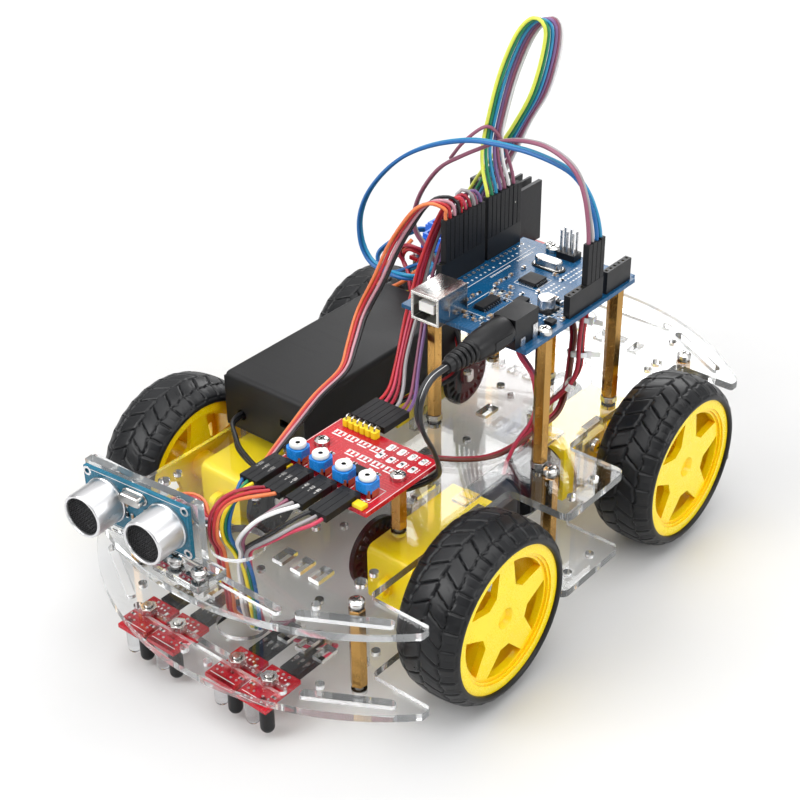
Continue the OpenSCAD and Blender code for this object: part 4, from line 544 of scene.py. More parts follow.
# the thin white strand along the top of the black lead is a painted highlight standing in for its glint line
strands(mb, [(*(np.array(p) + np.array([0.3, 0.3, 0.68])), *a, 1.0) for p, a in zip(lead, la)], [2], r=0.13, wob=0.0, seed=50, n=6)
TX = Matrix.Translation((0, 46.45, 111.5)) @ Matrix.Rotation(math.radians(90), 4, "Y")
mb.lathe([(2.7, 8), (2.75, 15.2), (4.3, 15.2), (5.0, 15.6), (5.25, 16.4), (5.3, 20), (5.1, 27), (4.6, 31.6), (4.2, 33.0), (3.9, 33.4)], 40, 0, TX)
x = 33.4
for i in range(5):
    r = 4.05 - i * 0.22
    mb.lathe([(r - 0.9, x - 0.3), (r - 0.15, x), (r, x + 0.2), (r - 0.08, x + 1.25), (r - 0.25, x + 1.45), (r - 0.9, x + 1.6)], 32, 0, TX); x += 2.15
mb.lathe([(2.75, 32.5), (2.3, 45.5), (2.0, 46)], 28, 0, TX)
for s in (-1, 1): mb.box(17.5, 46.45 + s * 5.0 - 0.25, 110.0, 26.5, 46.45 + s * 5.0 + 0.25, 113.0, 0)
mb.make("battery_lead_and_plug", "chassis", [M["black"], M["w_black"], M["w_white"]], bevel=0, sharp=50, replaces=["battery_lead"])

# ------------------------------------------------------------------ standoffs: drawn hexagon bar with turned ends and tapped bores
mb = MB()
STAND = [((x, y), 18.0, 30.0) for x, y in ((98, 52), (98, -52), (-98, 52), (-98, -52), (0, 57.3), (0, -57.3))]
STAND += [(p_, 53.4, 50.0) for p_ in ((-0.77, 51.66), (-2.04, 3.4), (-52.84, 46.58), (-52.84, 18.64))]
STAND += [(p_, 51.0, 18.0) for p_ in ((58, 36), (58, 2.5))] + [(p_, 51.0, 30.0) for p_ in ((-54, -45.5), (-54, -8.5), (-91, -45.5), (-91, -8.5))]
for q, (p_, z0, ln) in enumerate(STAND):
    T = Matrix.Translation((p_[0], p_[1], z0)) @ Matrix.Rotation(math.radians(45 + (7, -9, 4, -5)[q % 4]), 4, "Z")
    R = 5.1 / math.sqrt(3)
    mb.lathe([(1.3, 0.0), (R - 0.42, 0.0), (R, 0.3), (R, ln - 0.3), (R - 0.42, ln), (1.3, ln)], 6, 0, T, cap=False)
    # black bore walls: painted shade inside the tapped bores of the brass
    mb.lathe([(1.3, ln), (1.3, ln - 3)], 6, 1, T, cap=False)
mb.make("brass_standoffs", "chassis", [M["brass"], M["epoxy"]], bevel=0.1, sharp=30, replaces=["hex_standoffs"])

# ------------------------------------------------------------------ crimp housings
def wallpiece(mb, x, y, z0, z1, w=2.44, win=False):
    """Single upright housing: moulded shell with a wire hole on top and a latch window."""
    h = w / 2; c = 0.16
    mb.prism([(x - h + c, y - h), (x + h - c, y - h), (x + h, y - h + c), (x + h, y + h - c), (x + h - c, y + h), (x - h + c, y + h), (x - h, y + h - c), (x - h, y - h + c)], z0, z1, 0)
    mb.prism([(x - 0.86, y - 0.86), (x + 0.86, y - 0.86), (x + 0.86, y + 0.86), (x - 0.86, y + 0.86)], z1 - 0.4, z1 + 0.03, 1)
    s = 1 if win else -1
    a, b = sorted((y + s * (h - 0.3), y + s * (h + 0.02)))
    mb.box(x - 0.5, a, z0 + 8.2, x + 0.5, b, z0 + 10.2, 1)
    a, b = sorted((y + s * (h - 0.3), y + s * (h + 0.05)))
    mb.box(x - 0.28, a, z0 + 8.6, x + 0.28, b, z0 + 9.3, 2)


HM = [M["housing"], M["epoxy"], M["tin"]]
mb = MB()
for i in range(9): wallpiece(mb, -8.14 - 2.54 * i + random.uniform(-0.03, 0.03), 3.4 + random.uniform(-0.08, 0.08), 113.5, 129.5 + random.uniform(-0.25, 0.3))
for i in range(8): wallpiece(mb, -32.52 - 2.54 * i + random.uniform(-0.03, 0.03), 3.4 + random.uniform(-0.08, 0.08), 113.5, 129.5 + random.uniform(-0.25, 0.3), win=i == 6)
for i in range(4): wallpiece(mb, -24.9 - 2.54 * i, 51.66 + random.uniform(-0.06, 0.06), 113.5, 128.5 + random.uniform(-0.3, 0.3))
for i in range(6): wallpiece(mb, -53.2, -25.3 + 2.54 * i, 85.3, 99.3)
mb.make("single_crimp_housings", "chassis", HM, bevel=0.1)


def flat(mb, x0, x1, y0, n, z, t, T=None, windows=True, facing=1):
    """Row housing lying down: n cells along y from y0, wires leaving towards x1 when facing is 1."""
    for i in range(n):
        a = y0 + i * 2.54 + 0.05; b = a + 2.44
        mb.box(x0, a, z, x1, b, z + t, 0, T)
        xm = x0 + (x1 - x0) * (0.42 if facing > 0 else 0.58)
        if windows:
            mb.box(xm - 2.0, a + 0.5, z + t - 0.4, xm + 1.6, b - 0.5, z + t + 0.02, 1, T)
            mb.box(xm - 1.9, a + 0.62, z + t - 0.4, xm - 0.1, b - 0.62, z + t + 0.14, 2, T)
            mb.box(xm + 0.3, a + 0.95, z + t - 0.4, xm + 1.3, b - 0.95, z + t + 0.06, 2, T)
            mb.box(xm + 2.4, a + 0.4, z + t - 0.3, xm + 5.6, a + 0.55, z + t + 0.05, 0, T)
            mb.box(xm + 2.4, b - 0.55, z + t - 0.3, xm + 5.6, b - 0.4, z + t + 0.05, 0, T)
        xe = x1 if facing > 0 else x0
        mb.box(xe - 0.3, a + 0.45, z + 0.45, xe + 0.3 * (0.1 if facing > 0 else 1) , b - 0.45, z + t - 0.45, 1, T) if facing > 0 else mb.box(xe - 0.03, a + 0.45, z + 0.45, xe + 0.3, b - 0.45, z + t - 0.45, 1, T)
    mb.box(x0 + 0.1, y0 + 0.1, z + 0.12, x1 - 0.1, y0 + n * 2.54 - 0.1, z + t - 0.14, 0, T)


mb = MB()
for i in range(4): flat(mb, 77.6, 91.6, -3.9 + i * 10.16 + 0.19, 3, 70.6, 2.7, windows=i < 3)
flat(mb, 27.4, 40.9, 0.5, 4, 70.8, 2.6, windows=False, facing=-1); flat(mb, 27.4, 40.9, 10.7, 2, 70.8, 2.6, windows=False, facing=-1)
for y in (-28.5, -14, 14, 28.5): flat(mb, 92.6, 106.6, y - 3.81, 3, 12.1, 2.6, windows=True, facing=-1)
flat(mb, -20.5, -6.5, -5.08, 4, -9.6, 2.6, T=Matrix.Translation((0, 0, 0)) @ us_T, windows=False, facing=-1)
mb.make("row_crimp_housings", "chassis", HM, bevel=0.12, replaces=["crimp_housings"])

# ------------------------------------------------------------------ controller board dressing
ZB = 105.0
def pads(mb, x, y, z, nx, ny, px=2.54, py=2.54, mat=0, r=0.8):
    for i in range(nx):
        for j in range(ny):
            mb.lathe([(0.42, 0.0), (0.46, 0.08), (r * 0.8, 0.06), (r, 0.01), (r, -0.02)][::-1], 14, mat, Matrix.Translation((x + i * px, y + j * py, z)))


def smd(mb, x, y, z, kind="c", rot=0, s=1.0):
    T = Matrix.Translation((x, y, z)) @ Matrix.Rotation(math.radians(rot), 4, "Z")
    L, W, H = {"c": (1.6, 0.85, 0.8), "r": (1.6, 0.8, 0.45), "l": (1.7, 0.9, 0.7), "d": (2.6, 1.5, 1.1), "C": (2.2, 1.3, 1.1)}[kind]
    L, W, H = L * s, W * s, H * s
    body = {"c": 1, "r": 2, "l": 3, "d": 2, "C": 1}[kind]
    mb.box(-L / 2 + 0.35 * s, -W / 2 + 0.02, 0.04, L / 2 - 0.35 * s, W / 2 - 0.02, H, body, T)
    for k in (-1, 1):
        a, b = sorted((k * L / 2, k * (L / 2 - 0.38 * s)))
        mb.box(a, -W / 2, 0.02, b, W / 2, H + 0.03, 0, T)
        mb.box(k * L / 2 - 0.28, -W / 2 - 0.08, -0.02, k * L / 2 + 0.28, W / 2 + 0.08, 0.1, 0, T)


def dash_row(mb, x, y, z, n, step, along="x", w=0.28, seed=1, length=1.5, mat=0):
    """Printed rows as plain bars."""
    rng = random.Random(seed)
    for i in range(n):
        l = length * rng.uniform(0.6, 1.0)
        if along == "x": mb.box(x + i * step - w / 2, y - l / 2, z, x + i * step + w / 2, y + l / 2, z + 0.03, mat)
        else: mb.box(x - l / 2, y + i * step - w / 2, z, x + l / 2, y + i * step + w / 2, z + 0.03, mat)


def frame_line(mb, x0, y0, x1, y1, z, w=0.2, mat=0):
    mb.box(x0, y0, z, x1, y0 + w, z + 0.03, mat); mb.box(x0, y1 - w, z, x1, y1, z + 0.03, mat); mb.box(x0, y0, z, x0 + w, y1, z + 0.03, mat); mb.box(x1 - w, y0, z, x1, y1, z + 0.03, mat)


mb = MB()
z = ZB
# holes next to the long rows
pads(mb, -50.3, 6.4, z, 8, 1); pads(mb, -28.46, 6.4, z, 10, 1)
pads(mb, -50.3, 49.0, z, 6, 1, r=0.6); pads(mb, -28.0, 49.0, z, 8, 1, r=0.6)
for x in (-50.3 + 2.54 * i for i in range(8)): mb.box(x - 0.35, 9.2, z, x + 0.35, 10.0, z + 0.04, 4)
for x in (-28.46 + 2.54 * i for i in range(10)): mb.box(x - 0.35, 9.2, z, x + 0.35, 10.0, z + 0.04, 4)
mb.box(-51.2, 11.6, z, -6.0, 11.85, z + 0.03, 4)
dash_row(mb, -47, 13.4, z, 9, 1.1, "x", 0.7, 5, 0.9, 4); dash_row(mb, -33, 13.4, z, 12, 1.0, "x", 0.6, 6, 0.9, 4)
dash_row(mb, -50.3, 46.4, z, 6, 2.54, "x", 1.1, 7, 1.3, 4); dash_row(mb, -26, 46.6, z, 8, 2.54, "x", 1.2, 8, 1.4, 4)
dash_row(mb, -26, 44.6, z, 8, 2.54, "x", 0.8, 9, 0.9, 4)
for r_ in range(3):
    dash_row(mb, -46.5, 33.5 + r_ * 2.2, z, 7, 1.7, "x", 1.0, 10 + r_, 0.8, 4)
    dash_row(mb, -31.5, 34.0 + r_ * 2.2, z, 6, 1.6, "x", 0.9, 20 + r_, 0.8, 4)
frame_line(mb, -12.5, 19.5, 3.4, 30.4, z, 0.22, 4); frame_line(mb, -33.4, 22.1, -23.6, 31.9, z, 0.2, 4)
frame_line(mb, -7.8, 5.2, -0.2, 11.4, z, 0.2, 4); frame_line(mb, -19, 38.6, -9.6, 47.6, z, 0.2, 4)
# small parts
for x, y, k, ro in ((2.5, 20.5, "c", 0), (5.0, 22.5, "c", 90), (5.0, 25.5, "r", 90), (7.3, 24.5, "c", 90), (7.3, 28.0, "c", 90), (5.2, 29.6, "l", 0), (2.6, 31.4, "C", 0), (-0.6, 31.6, "c", 0), (-3.6, 31.8, "c", 0), (-6.6, 31.6, "r", 0),
                    (-9.6, 31.8, "c", 0), (-10.8, 22, "c", 90), (-10.8, 25, "c", 90), (-10.8, 28, "r", 90), (-13.3, 21, "l", 90), (-13.3, 24, "l", 90), (-13.3, 27, "c", 90), (-15.6, 20.2, "r", 90), (-15.6, 23.4, "r", 90), (-15.6, 26.6, "c", 90),
                    (-18, 18.4, "c", 0), (-21, 18.2, "c", 0), (-24, 18.2, "r", 0), (-27, 18.4, "c", 0), (-18.2, 29.6, "r", 0), (-19.6, 24, "c", 90), (-34.5, 18.6, "c", 0), (-37, 30.8, "c", 90), (-35.4, 34.6, "r", 0), (-22.6, 33.4, "c", 0),
                    (8.6, 33.6, "d", 90), (5.4, 34.8, "C", 90), (8.8, 38.2, "C", 90), (2.0, 36.4, "c", 0), (-1.6, 36.2, "r", 0), (-5.2, 36.0, "C", 0), (-5.6, 40.2, "c", 90), (-3.0, 44.2, "d", 0), (-8.6, 40.4, "r", 90), (-2.2, 17.4, "c", 0), (-6, 17.2, "c", 0), (-9.5, 17.4, "r", 0), (8.2, 20.6, "c", 0),
                    (-20.6, 43.6, "d", 90), (-22.9, 41.0, "c", 90), (-19.8, 49.8, "c", 0), (-1.8, 49.9, "r", 90), (-12.0, 51.4, "c", 0)):
    smd(mb, x, y, z, k, ro, 1.15)
# gull-wing legs of the chips
def legs(mb, x, y, l, w, n, p, z, mat=0, both=True):
    for i in range(n):
        xx = x - (n - 1) * p / 2 + i * p
        for s in (-1, 1):
            y0, y1 = sorted((y + s * (w / 2 - 0.05), y + s * (w / 2 + 0.55)))
            mb.box(xx - p * 0.17, y0, z + 0.75, xx + p * 0.17, y1, z + 0.92, mat)
            y0, y1 = sorted((y + s * (w / 2 + 0.4), y + s * (w / 2 + 0.58)))
            mb.box(xx - p * 0.17, y0, z + 0.08, xx + p * 0.17, y1, z + 0.92, mat)
            y0, y1 = sorted((y + s * (w / 2 + 0.4), y + s * (w / 2 + 1.15)))
            mb.box(xx - p * 0.2, y0, z + 0.0, xx + p * 0.2, y1, z + 0.16, mat)


legs(mb, -4.3, 25, 9.9, 3.9, 8, 1.27, z)
legs(mb, -28.5, 27, 7, 7, 8, 0.8, z)
def legs_y(mb, x, y, l, w, n, p, z, mat=0):
    for i in range(n):
        yy = y - (n - 1) * p / 2 + i * p
        for s in (-1, 1):
            a, b = sorted((x + s * (l / 2 - 0.05), x + s * (l / 2 + 1.0)))
            mb.box(a, yy - p * 0.18, z + 0.02, b, yy + p * 0.18, z + 0.3, mat)


legs_y(mb, -28.5, 27, 7, 7, 8, 0.8, z)
legs(mb, -12.5, 33.5, 4.9, 3.9, 4, 1.27, z)
mb.cyl(-8.3, 23.9, z + 1.75, z + 1.83, 0.45, 16, 5); mb.cyl(-31.2, 24.4, z + 1.45, z + 1.53, 0.5, 16, 5)
# in-circuit pins and their posts
for i in range(2):
    for j in range(3):
        x, y = -52.97 + i * 2.54, 23.82 + j * 2.54
        mb.box(x - 0.36, y - 0.36, z + 2.4, x + 0.36, y + 0.36, z + 11.04, 0)
# jack's tab
mb.box(2.6, 50.95, z + 0.0, 5.2, 51.25, z + 5.5, 0); mb.box(9.6, 50.95, z, 12.0, 51.25, z + 3.0, 0)
mb.make("controller_small_parts", "chassis", [M["solder"], M["ceramic"], M["epoxy"], M["led"], M["silk"], M["black"]], bevel=0, sharp=30)

# crystals and electrolytic caps in their real finishes
lo, hi = B("reset_switch_body")
mb = MB()
lo, hi = B("crystals_and_capacitors")
def can_oval(mb, T, l, w, h, mat, seg=14, e=0.35):
    def ring(l_, w_):
        out = []
        for s in (1, -1):
            for k in range(seg + 1):
                a = -math.pi / 2 + math.pi * k / seg
                out.append((s * (l_ - w_) / 2 + s * w_ / 2 * math.cos(a), s * w_ / 2 * math.sin(a)))
        return out
    R0, R1 = ring(l, w), ring(l - 2 * e, w - 2 * e)
    n = len(R0)
    v = [(x, y, 0) for x, y in R0] + [(x, y, h - e) for x, y in R0] + [(x + (0), y, h) for x, y in R1]
    f = [tuple(range(n - 1, -1, -1)), tuple(range(2 * n, 3 * n))]
    for lvl in (0, 1):
        f += [(lvl * n + i, lvl * n + (i + 1) % n, (lvl + 1) * n + (i + 1) % n, (lvl + 1) * n + i) for i in range(n)]
    mb.add(v, f, mat, T)


T = Matrix.Translation((-41, 25, ZB)) @ Matrix.Rotation(math.radians(90), 4, "Z")
can_oval(mb, T, 13.6, 5.8, 0.5, 1, e=0.1); can_oval(mb, T @ Matrix.Translation((0, 0, 0.45)), 12.4, 4.9, 0.35, 0, e=0.1); can_oval(mb, T @ Matrix.Translation((0, 0, 0.7)), 11.2, 4.1, 2.9, 0)
T = Matrix.Translation((-14, 43, ZB))
mb.prism([(-3.3, -3.3), (2.4, -3.3), (3.3, -2.4), (3.3, 2.4), (2.4, 3.3), (-3.3, 3.3)], 0, 1.1, 1, T)
def lytic(mb, T, r, h, top=2, side=2, stripe=None):
    mb.lathe([(r * 0.93, 1.0), (r * 0.93, 1.5), (r, 1.9), (r, h - 0.3), (r - 0.25, h), (r * 0.55, h + 0.0)], 40, side, T, cap=False)
    mb.lathe([(r * 0.55 + 0.01, h + 0.01), (0.01, h - 0.04)], 40, top, T, cap=False)
    if stripe is not None:
        v = []
        for k in range(9):
            a = math.radians(-36 + 9 * k)
            v += [((r + 0.03) * math.cos(a), (r + 0.03) * math.sin(a), 1.9), ((r + 0.03) * math.cos(a), (r + 0.03) * math.sin(a), h - 0.35)]
        mb.add(v, [(2 * k, 2 * k + 2, 2 * k + 3, 2 * k + 1) for k in range(8)], stripe, T)
        n = 9
        v = [(r * 0.98 * math.cos(math.radians(a)), r * 0.98 * math.sin(math.radians(a)), h + 0.02 - 0.0) for a in range(-50, 51, 10)]
        v = [(x * 0.88, y * 0.88, z_) for x, y, z_ in v]
        mb.add(v, [tuple(range(len(v)))], 1, T)


lytic(mb, T, 3.1, 5.3, 2, 2, None)
v = [(2.9 * math.cos(math.radians(a)), 2.9 * math.sin(math.radians(a)), 5.33) for a in range(40, 141, 10)]
mb.add(v, [tuple(range(len(v)))], 1, T)
for x, y in ((-68, -34.5), (-68, -18)):
    lytic(mb, Matrix.Translation((x, y, 81.8)), 4.0, 11.8, 2, 1, 3)
T = us_T @ Matrix.Translation((0, 0, 6.2)) @ Matrix.Rotation(math.radians(90), 4, "Y") @ Matrix.Rotation(math.radians(90), 4, "Z")
can_oval(mb, T @ Matrix.Translation((0, 0, 0.0)), 10.6, 4.6, 0.5, 0, e=0.1); can_oval(mb, T @ Matrix.Translation((0, 0, 0.4)), 9.6, 3.7, 3.0, 0)
mb.make("crystal_and_capacitor_cans", "chassis", [M["tin"], M["black"], M["alu"], M["silk"]], sharp=35, replaces=["crystals_and_capacitors"])

# sockets: contact openings read as dark slots with gold leaves inside
mb = MB()
def contacts(mb, xs, y, z):
    for x in xs:
        for s in (-1, 1):
            mb.box(x + s * 0.42 - 0.08 * (s > 0) , y - 0.3, z - 1.6, x + s * 0.42 + 0.08 * (s < 0), y + 0.3, z - 0.25, 0)


contacts(mb, [-14.74 - 2.54 * i for i in range(8)], 51.66, 113.5)
contacts(mb, [-37.6 - 2.54 * i for i in range(6)], 51.66, 113.5)
contacts(mb, [-5.6 - 2.54 * i for i in range(10)], 3.4, 113.5)
mb.make("socket_contacts", "chassis", [M["gold"]], sharp=30)

# white tongue and shell seams of the USB socket
lo, hi = B("usb_socket")
mb = MB()
yc = (lo[1] + hi[1]) / 2
mb.box(hi[0] - 9.3, yc - 3.15, ZB + 3.8, hi[0] - 1.0, yc + 3.15, ZB + 7.3, 0)
mb.box(hi[0] - 10.5, yc - 4.7, ZB + 1.3, hi[0] - 9.2, yc + 4.7, ZB + 9.6, 0)
for s in (-1, 1):
    for zz in (4.4, 5.9): mb.box(hi[0] - 7, yc + s * 1.3 - 0.4, ZB + zz - (0.45 if zz < 5 else 0), hi[0] - 1.6, yc + s * 1.3 + 0.4, ZB + zz + (0.0 if zz < 5 else 1.3), 1)
for s in (-1, 1): mb.box(hi[0] - 13, yc + s * 6.02 - 0.12, ZB + 2, hi[0] - 6, yc + s * 6.02 + 0.12, ZB + 8.4, 2)
mb.box(hi[0] - 10.5, yc - 2.2, ZB + 10.86, hi[0] - 4.0, yc - 1.7, ZB + 10.98, 2); mb.box(hi[0] - 10.5, yc + 1.7, ZB + 10.86, hi[0] - 4.0, yc + 2.2, ZB + 10.98, 2)
mb.make("usb_tongue", "chassis", [M["white"], M["gold"], M["tin"]], bevel=0.1)

# ------------------------------------------------------------------ sensor hub dressing
ZH = 70.6
mb = MB()
for i in range(4):
    x, y = 70.5, 3.1 + i * 10.16
    c = 1.3
    o8 = [(x - 3.4 + c, y - 3.4), (x + 3.4 - c, y - 3.4), (x + 3.4, y - 3.4 + c), (x + 3.4, y + 3.4 - c), (x + 3.4 - c, y + 3.4), (x - 3.4 + c, y + 3.4), (x - 3.4, y + 3.4 - c), (x - 3.4, y - 3.4 + c)]
    mb.prism(o8, ZH + 1.9, ZH + 5.6, 0)
    mb.prism([(a_ * 0.86 + x * 0.14, b_ * 0.86 + y * 0.14) for a_, b_ in o8], ZH + 1.3, ZH + 1.95, 0)
    for dx, dy in ((-3.0, 0), (2.7, -2.54), (2.7, 2.54)):
        mb.box(x + dx - 0.28, y + dy - 0.65, ZH - 0.02, x + dx + 0.28, y + dy + 0.65, ZH + 3.2, 1)
        mb.lathe([(0.95, 0), (0.8, 0.12), (0.4, 0.3)], 14, 2, Matrix.Translation((x + dx, y + dy, ZH)))
    for s in (-1, 1): mb.box(x - 1.8, y + s * 3.42 - 0.08, ZH + 0.2, x + 1.8, y + s * 3.42 + 0.08, ZH + 2.6, 1)
mb.make("trimmer_cases", "chassis", [M["trim"], M["copper"], M["solder"]], bevel=0.22, replaces=["trimmer_bodies"])
for i in range(4):
    x, y = 70.5, 3.1 + i * 10.16
    lo, hi = B(f"trimmer_knob_{i + 1}")
    a_ = math.radians((35, -20, 70, 10)[i]); T = Matrix.Translation((x, y, 0)) @ Matrix.Rotation(a_, 4, "Z")
    mb = MB()
    zt = max(lo[2] + 0.2, ZH + 5.7)
    mb.lathe([(1.5, lo[2]), (1.5, zt), (2.75, zt + 0.02), (2.9, zt + 0.2), (2.9, hi[2] - 0.25), (2.72, hi[2]), (1.15, hi[2] - 0.02), (0.95, hi[2] - 0.12), (0.8, hi[2] - 0.3)], 48, 0, T, cap=False)
    mb.lathe([(0.8, hi[2] - 0.3), (0.78, hi[2] - 1.2), (0.02, hi[2] - 1.2)], 24, 1, T, cap=False)
    # grey pointer and bar on the knob top: painted shade for the moulded slot
    mb.prism([(1.15, -0.22), (2.15, -0.22), (2.55, 0), (2.15, 0.22), (1.15, 0.22)], hi[2] - 0.2, hi[2] + 0.012, 2, T)
    mb.box(-2.3, -0.2, hi[2] - 0.2, -1.15, 0.2, hi[2] + 0.012, 2, T)
    mb.make(f"knob_disc_{i + 1}", f"knob_{i + 1}", [M["white"], M["epoxy"], M["knob_mark"]], sharp=40, replaces=[f"trimmer_knob_{i + 1}"])

mb = MB()
for i in range(6):
    y = 1.67 + i * 2.54; x = 44.1; h = 1.27; c = 0.45
    mb.prism([(x - 1.5, y - h + c), (x - 1.5 + c, y - h + 0.04), (x + 1.5 - c, y - h + 0.04), (x + 1.5, y - h + c), (x + 1.5, y + h - c), (x + 1.5 - c, y + h - 0.04), (x - 1.5 + c, y + h - 0.04), (x - 1.5, y + h - c)], ZH, ZH + 2.6, 0)
    pts = [(44.6, y, 70), (44.6, y, 73.6), (44.45, y, 74.3), (43.9, y, 74.75), (43.1, y, 74.6), (42.2, y, 73.6), (41.2, y, 72.6), (40.2, y, 72.2)]
    mb.tube(spline([(*p_,) for p_ in pts], 0.5), 0.36, 8, 1)
mb.make("hub_pin_strip", "chassis", [M["yhead"], M["tin"]], bevel=0.1, sharp=40, replaces=["hub_header"])

mb = MB()
z = ZH
# comb shaped solder bridges, two rows
for rx, y0, n in ((49.5, 0.5, 4), (56.2, 12.0, 4)):
    for i in range(n):
        y = y0 + i * 5.6
        mb.box(rx - 1.4, y, z, rx - 1.1, y + 4.8, z + 0.03, 1)
        for k in range(3):
            yy = y + 0.2 + k * 1.9
            mb.box(rx - 1.3, yy, z, rx + 0.5, yy + 0.9, z + 0.03, 1)
            mb.box(rx + 0.1, yy + 0.15, z, rx + 0.9, yy + 0.75, z + 0.05, 0)
        mb.box(rx + 1.2, y + 0.3, z, rx + 1.8, y + 4.4, z + 0.03, 1)
# lamps and resistors behind them
for i in range(4):
    for j in range(2):
        x, y = 45.5 + j * 5.8, 22.6 + i * 4.7
        if y > 40: continue
        mb.prism([(x - 1.9, y - 0.7), (x - 1.4, y - 1.2), (x + 1.4, y - 1.2), (x + 1.9, y - 0.7), (x + 1.9, y + 0.7), (x + 1.4, y + 1.2), (x - 1.4, y + 1.2), (x - 1.9, y + 0.7)], z - 0.01, z + 0.03, 1)
        smd(mb, x, y, z, "lr"[j], 0, 1.0)
        dash_row(mb, x - 1.2, y + 1.9, z, 3, 1.0, "x", 0.6, 50 + i + 5 * j, 0.7, 1)
legs_y(mb, 64, 26, 3.9, 8.6, 7, 1.27, z)
for i in range(4):
    y = 3.1 + i * 10.16
    frame_line(mb, 66.2, y - 4.3, 74.8, y + 4.3, z, 0.22, 1)
    for k in range(3):
        mb.lathe([(0.85, 0), (0.75, 0.1), (0.42, 0.55), (0.3, 0.9)], 14, 0, Matrix.Translation((76.2, -2.44 + i * 10.16 + 2.54 * k, z)))
        mb.box(75.88, -2.44 + i * 10.16 + 2.54 * k - 0.32, z, 77.8, -2.44 + i * 10.16 + 2.54 * k + 0.32, z + 1.5, 0)
    dash_row(mb, 75.0, y - 3.4, z, 4, 1.9, "y", 0.8, 70 + i, 0.8, 1)
    if i < 3:
        smd(mb, 60.6, y + 3.0, z, "c", 90); smd(mb, 60.6, y + 6.2, z, "r", 90)
mb.box(42.4, -2.7, z, 79.6, -2.5, z + 0.03, 1); mb.box(42.4, 40.5, z, 79.6, 40.7, z + 0.03, 1)
mb.make("hub_small_parts", "chassis", [M["solder"], M["silk"], M["epoxy"], M["led"], M["ceramic"]], sharp=30)
mb = MB()
mb.box(76.6, 34.6, ZH, 79.7, 38.9, ZH + 1.4, 0); mb.box(74.9, -2.95, ZH, 77.4, 4.7, ZH + 1.3, 0)
for i in range(1, 4): mb.box(74.9, -3.7 + i * 10.16, ZH, 77.4, 3.9 + i * 10.16, ZH + 1.3, 0)
mb.make("hub_front_strips", "chassis", [M["yhead"]], bevel=0.15)

# ------------------------------------------------------------------ driver dressing
mb = MB()
# black bars across the screw heads here and below: painted shade standing in for the screwdriver slots
for i in range(3):
    mb.cyl(-54.9, -42.6 + 2.54 + 5.08 * i, 82.6 + 5.4, 82.6 + 9.6, 1.75, 20, 0, 0.2)
    mb.box(-54.9 - 1.6, -42.6 + 2.54 + 5.08 * i - 0.25, 92.15, -54.9 + 1.6, -42.6 + 2.54 + 5.08 * i + 0.25, 92.26, 1)
for x, y in ((-68.54, -9.6), (-63.46, -9.6), (-63.46, -44.4), (-68.54, -44.4)):
    mb.cyl(x, y, 88, 92.2, 1.75, 20, 0, 0.2); mb.box(x - 0.25, y - 1.6, 92.15, x + 0.25, y + 1.6, 92.26, 1)
for i in range(12): smd(mb, -60 + (i % 3) * 2.6, -25 + (i // 3) * 2.4, 82.6, "rcl"[i % 3], 90)
mb.box(-93.4, -48.2, 82.6, -51.6, -48.0, 82.63, 2); frame_line(mb, -72.6, -39.5, -63.4, -13.2, 82.6, 0.25, 2)
mb.make("driver_small_parts", "chassis", [M["nickel"], M["epoxy"], M["silk"], M["led"], M["ceramic"]], sharp=30)

# ------------------------------------------------------------------ distance sensor cans
RX = Matrix.Rotation(math.radians(90), 4, "Y")
for q, y in enumerate((-13, 13)):
    T = us_T @ Matrix.Translation((0, y, 0)) @ RX
    mb = MB()
    mb.lathe([(8.35, 0), (8.35, 0.8), (8.05, 1.1), (8.0, 1.6), (8.0, 11.2), (7.85, 11.9), (7.5, 12.2), (6.95, 12.2), (6.75, 11.9), (6.7, 11.0), (6.7, 9.2)], 64, 0, T, cap=False)
    mb.lathe([(6.72, 9.3), (5.6, 9.35), (5.5, 9.9), (4.9, 10.0), (0.02, 10.02)], 48, 3, T, cap=False)
    mb.lathe([(3.6, 10.0), (3.4, 10.35), (0.9, 10.1), (0.02, 10.1)], 40, 2, T, cap=False)
    n = 17
    for i in range(n):
        c = -6.6 + 13.2 * (i + 0.5) / n
        half = math.sqrt(max(0.2, 6.72 ** 2 - c * c))
        s = np.linspace(-half, half, 34)
        w = 0.13 * np.cos(s / (13.2 / n) * math.pi + i * math.pi)
        P1 = np.stack([np.full_like(s, c), s, 11.15 + w], 1); P2 = np.stack([s, np.full_like(s, c), 11.15 - w], 1)
        R4 = np.array(T)[:3, :3]; o3 = np.array(T)[:3, 3]
        mb.tube(P1 @ R4.T + o3, 0.15, 5, 1, cap=False); mb.tube(P2 @ R4.T + o3, 0.15, 5, 1, cap=False)
    mb.make(f"distance_can_{q + 1}", "chassis", [M["alu"], M["mesh"], M["can"], M["epoxy"]], sharp=35, replaces=["distance_cans"])
mb = MB()
for y, zz, k, r_ in ((-4.2, -2.5, "r", 0), (-2.0, -2.5, "c", 0), (0.4, -2.5, "c", 0), (2.6, -2.5, "r", 0), (-4, 1.6, "c", 0), (4, 1.4, "r", 0), (3.6, -5.2, "c", 0)):
    T = us_T @ Matrix.Translation((0, y, zz)) @ RX
    mb.box(-0.8, -0.42, 0, 0.8, 0.42, 0.5, 1 if k == "c" else 2, T)
    for s in (-1, 1): mb.box(min(s * 0.8, s * 1.15), -0.45, 0, max(s * 0.8, s * 1.15), 0.45, 0.52, 0, T)
for i in range(4):
    T = us_T @ Matrix.Translation((0, -3.81 + 2.54 * i, -8.3)) @ RX
    mb.lathe([(0.95, 0), (0.85, 0.12), (0.4, 0.75), (0.1, 0.8)], 16, 0, T)
T = us_T @ RX
for y, zz in ((-20.9, -8.3), (-20.9, 8.3), (20.9, -8.3), (20.9, 8.3)):
    mb.lathe([(0.95, 0.02), (1.7, 0.04), (1.75, 0.0)], 24, 0, us_T @ Matrix.Translation((0, y, zz)) @ RX, cap=False)
T = us_T
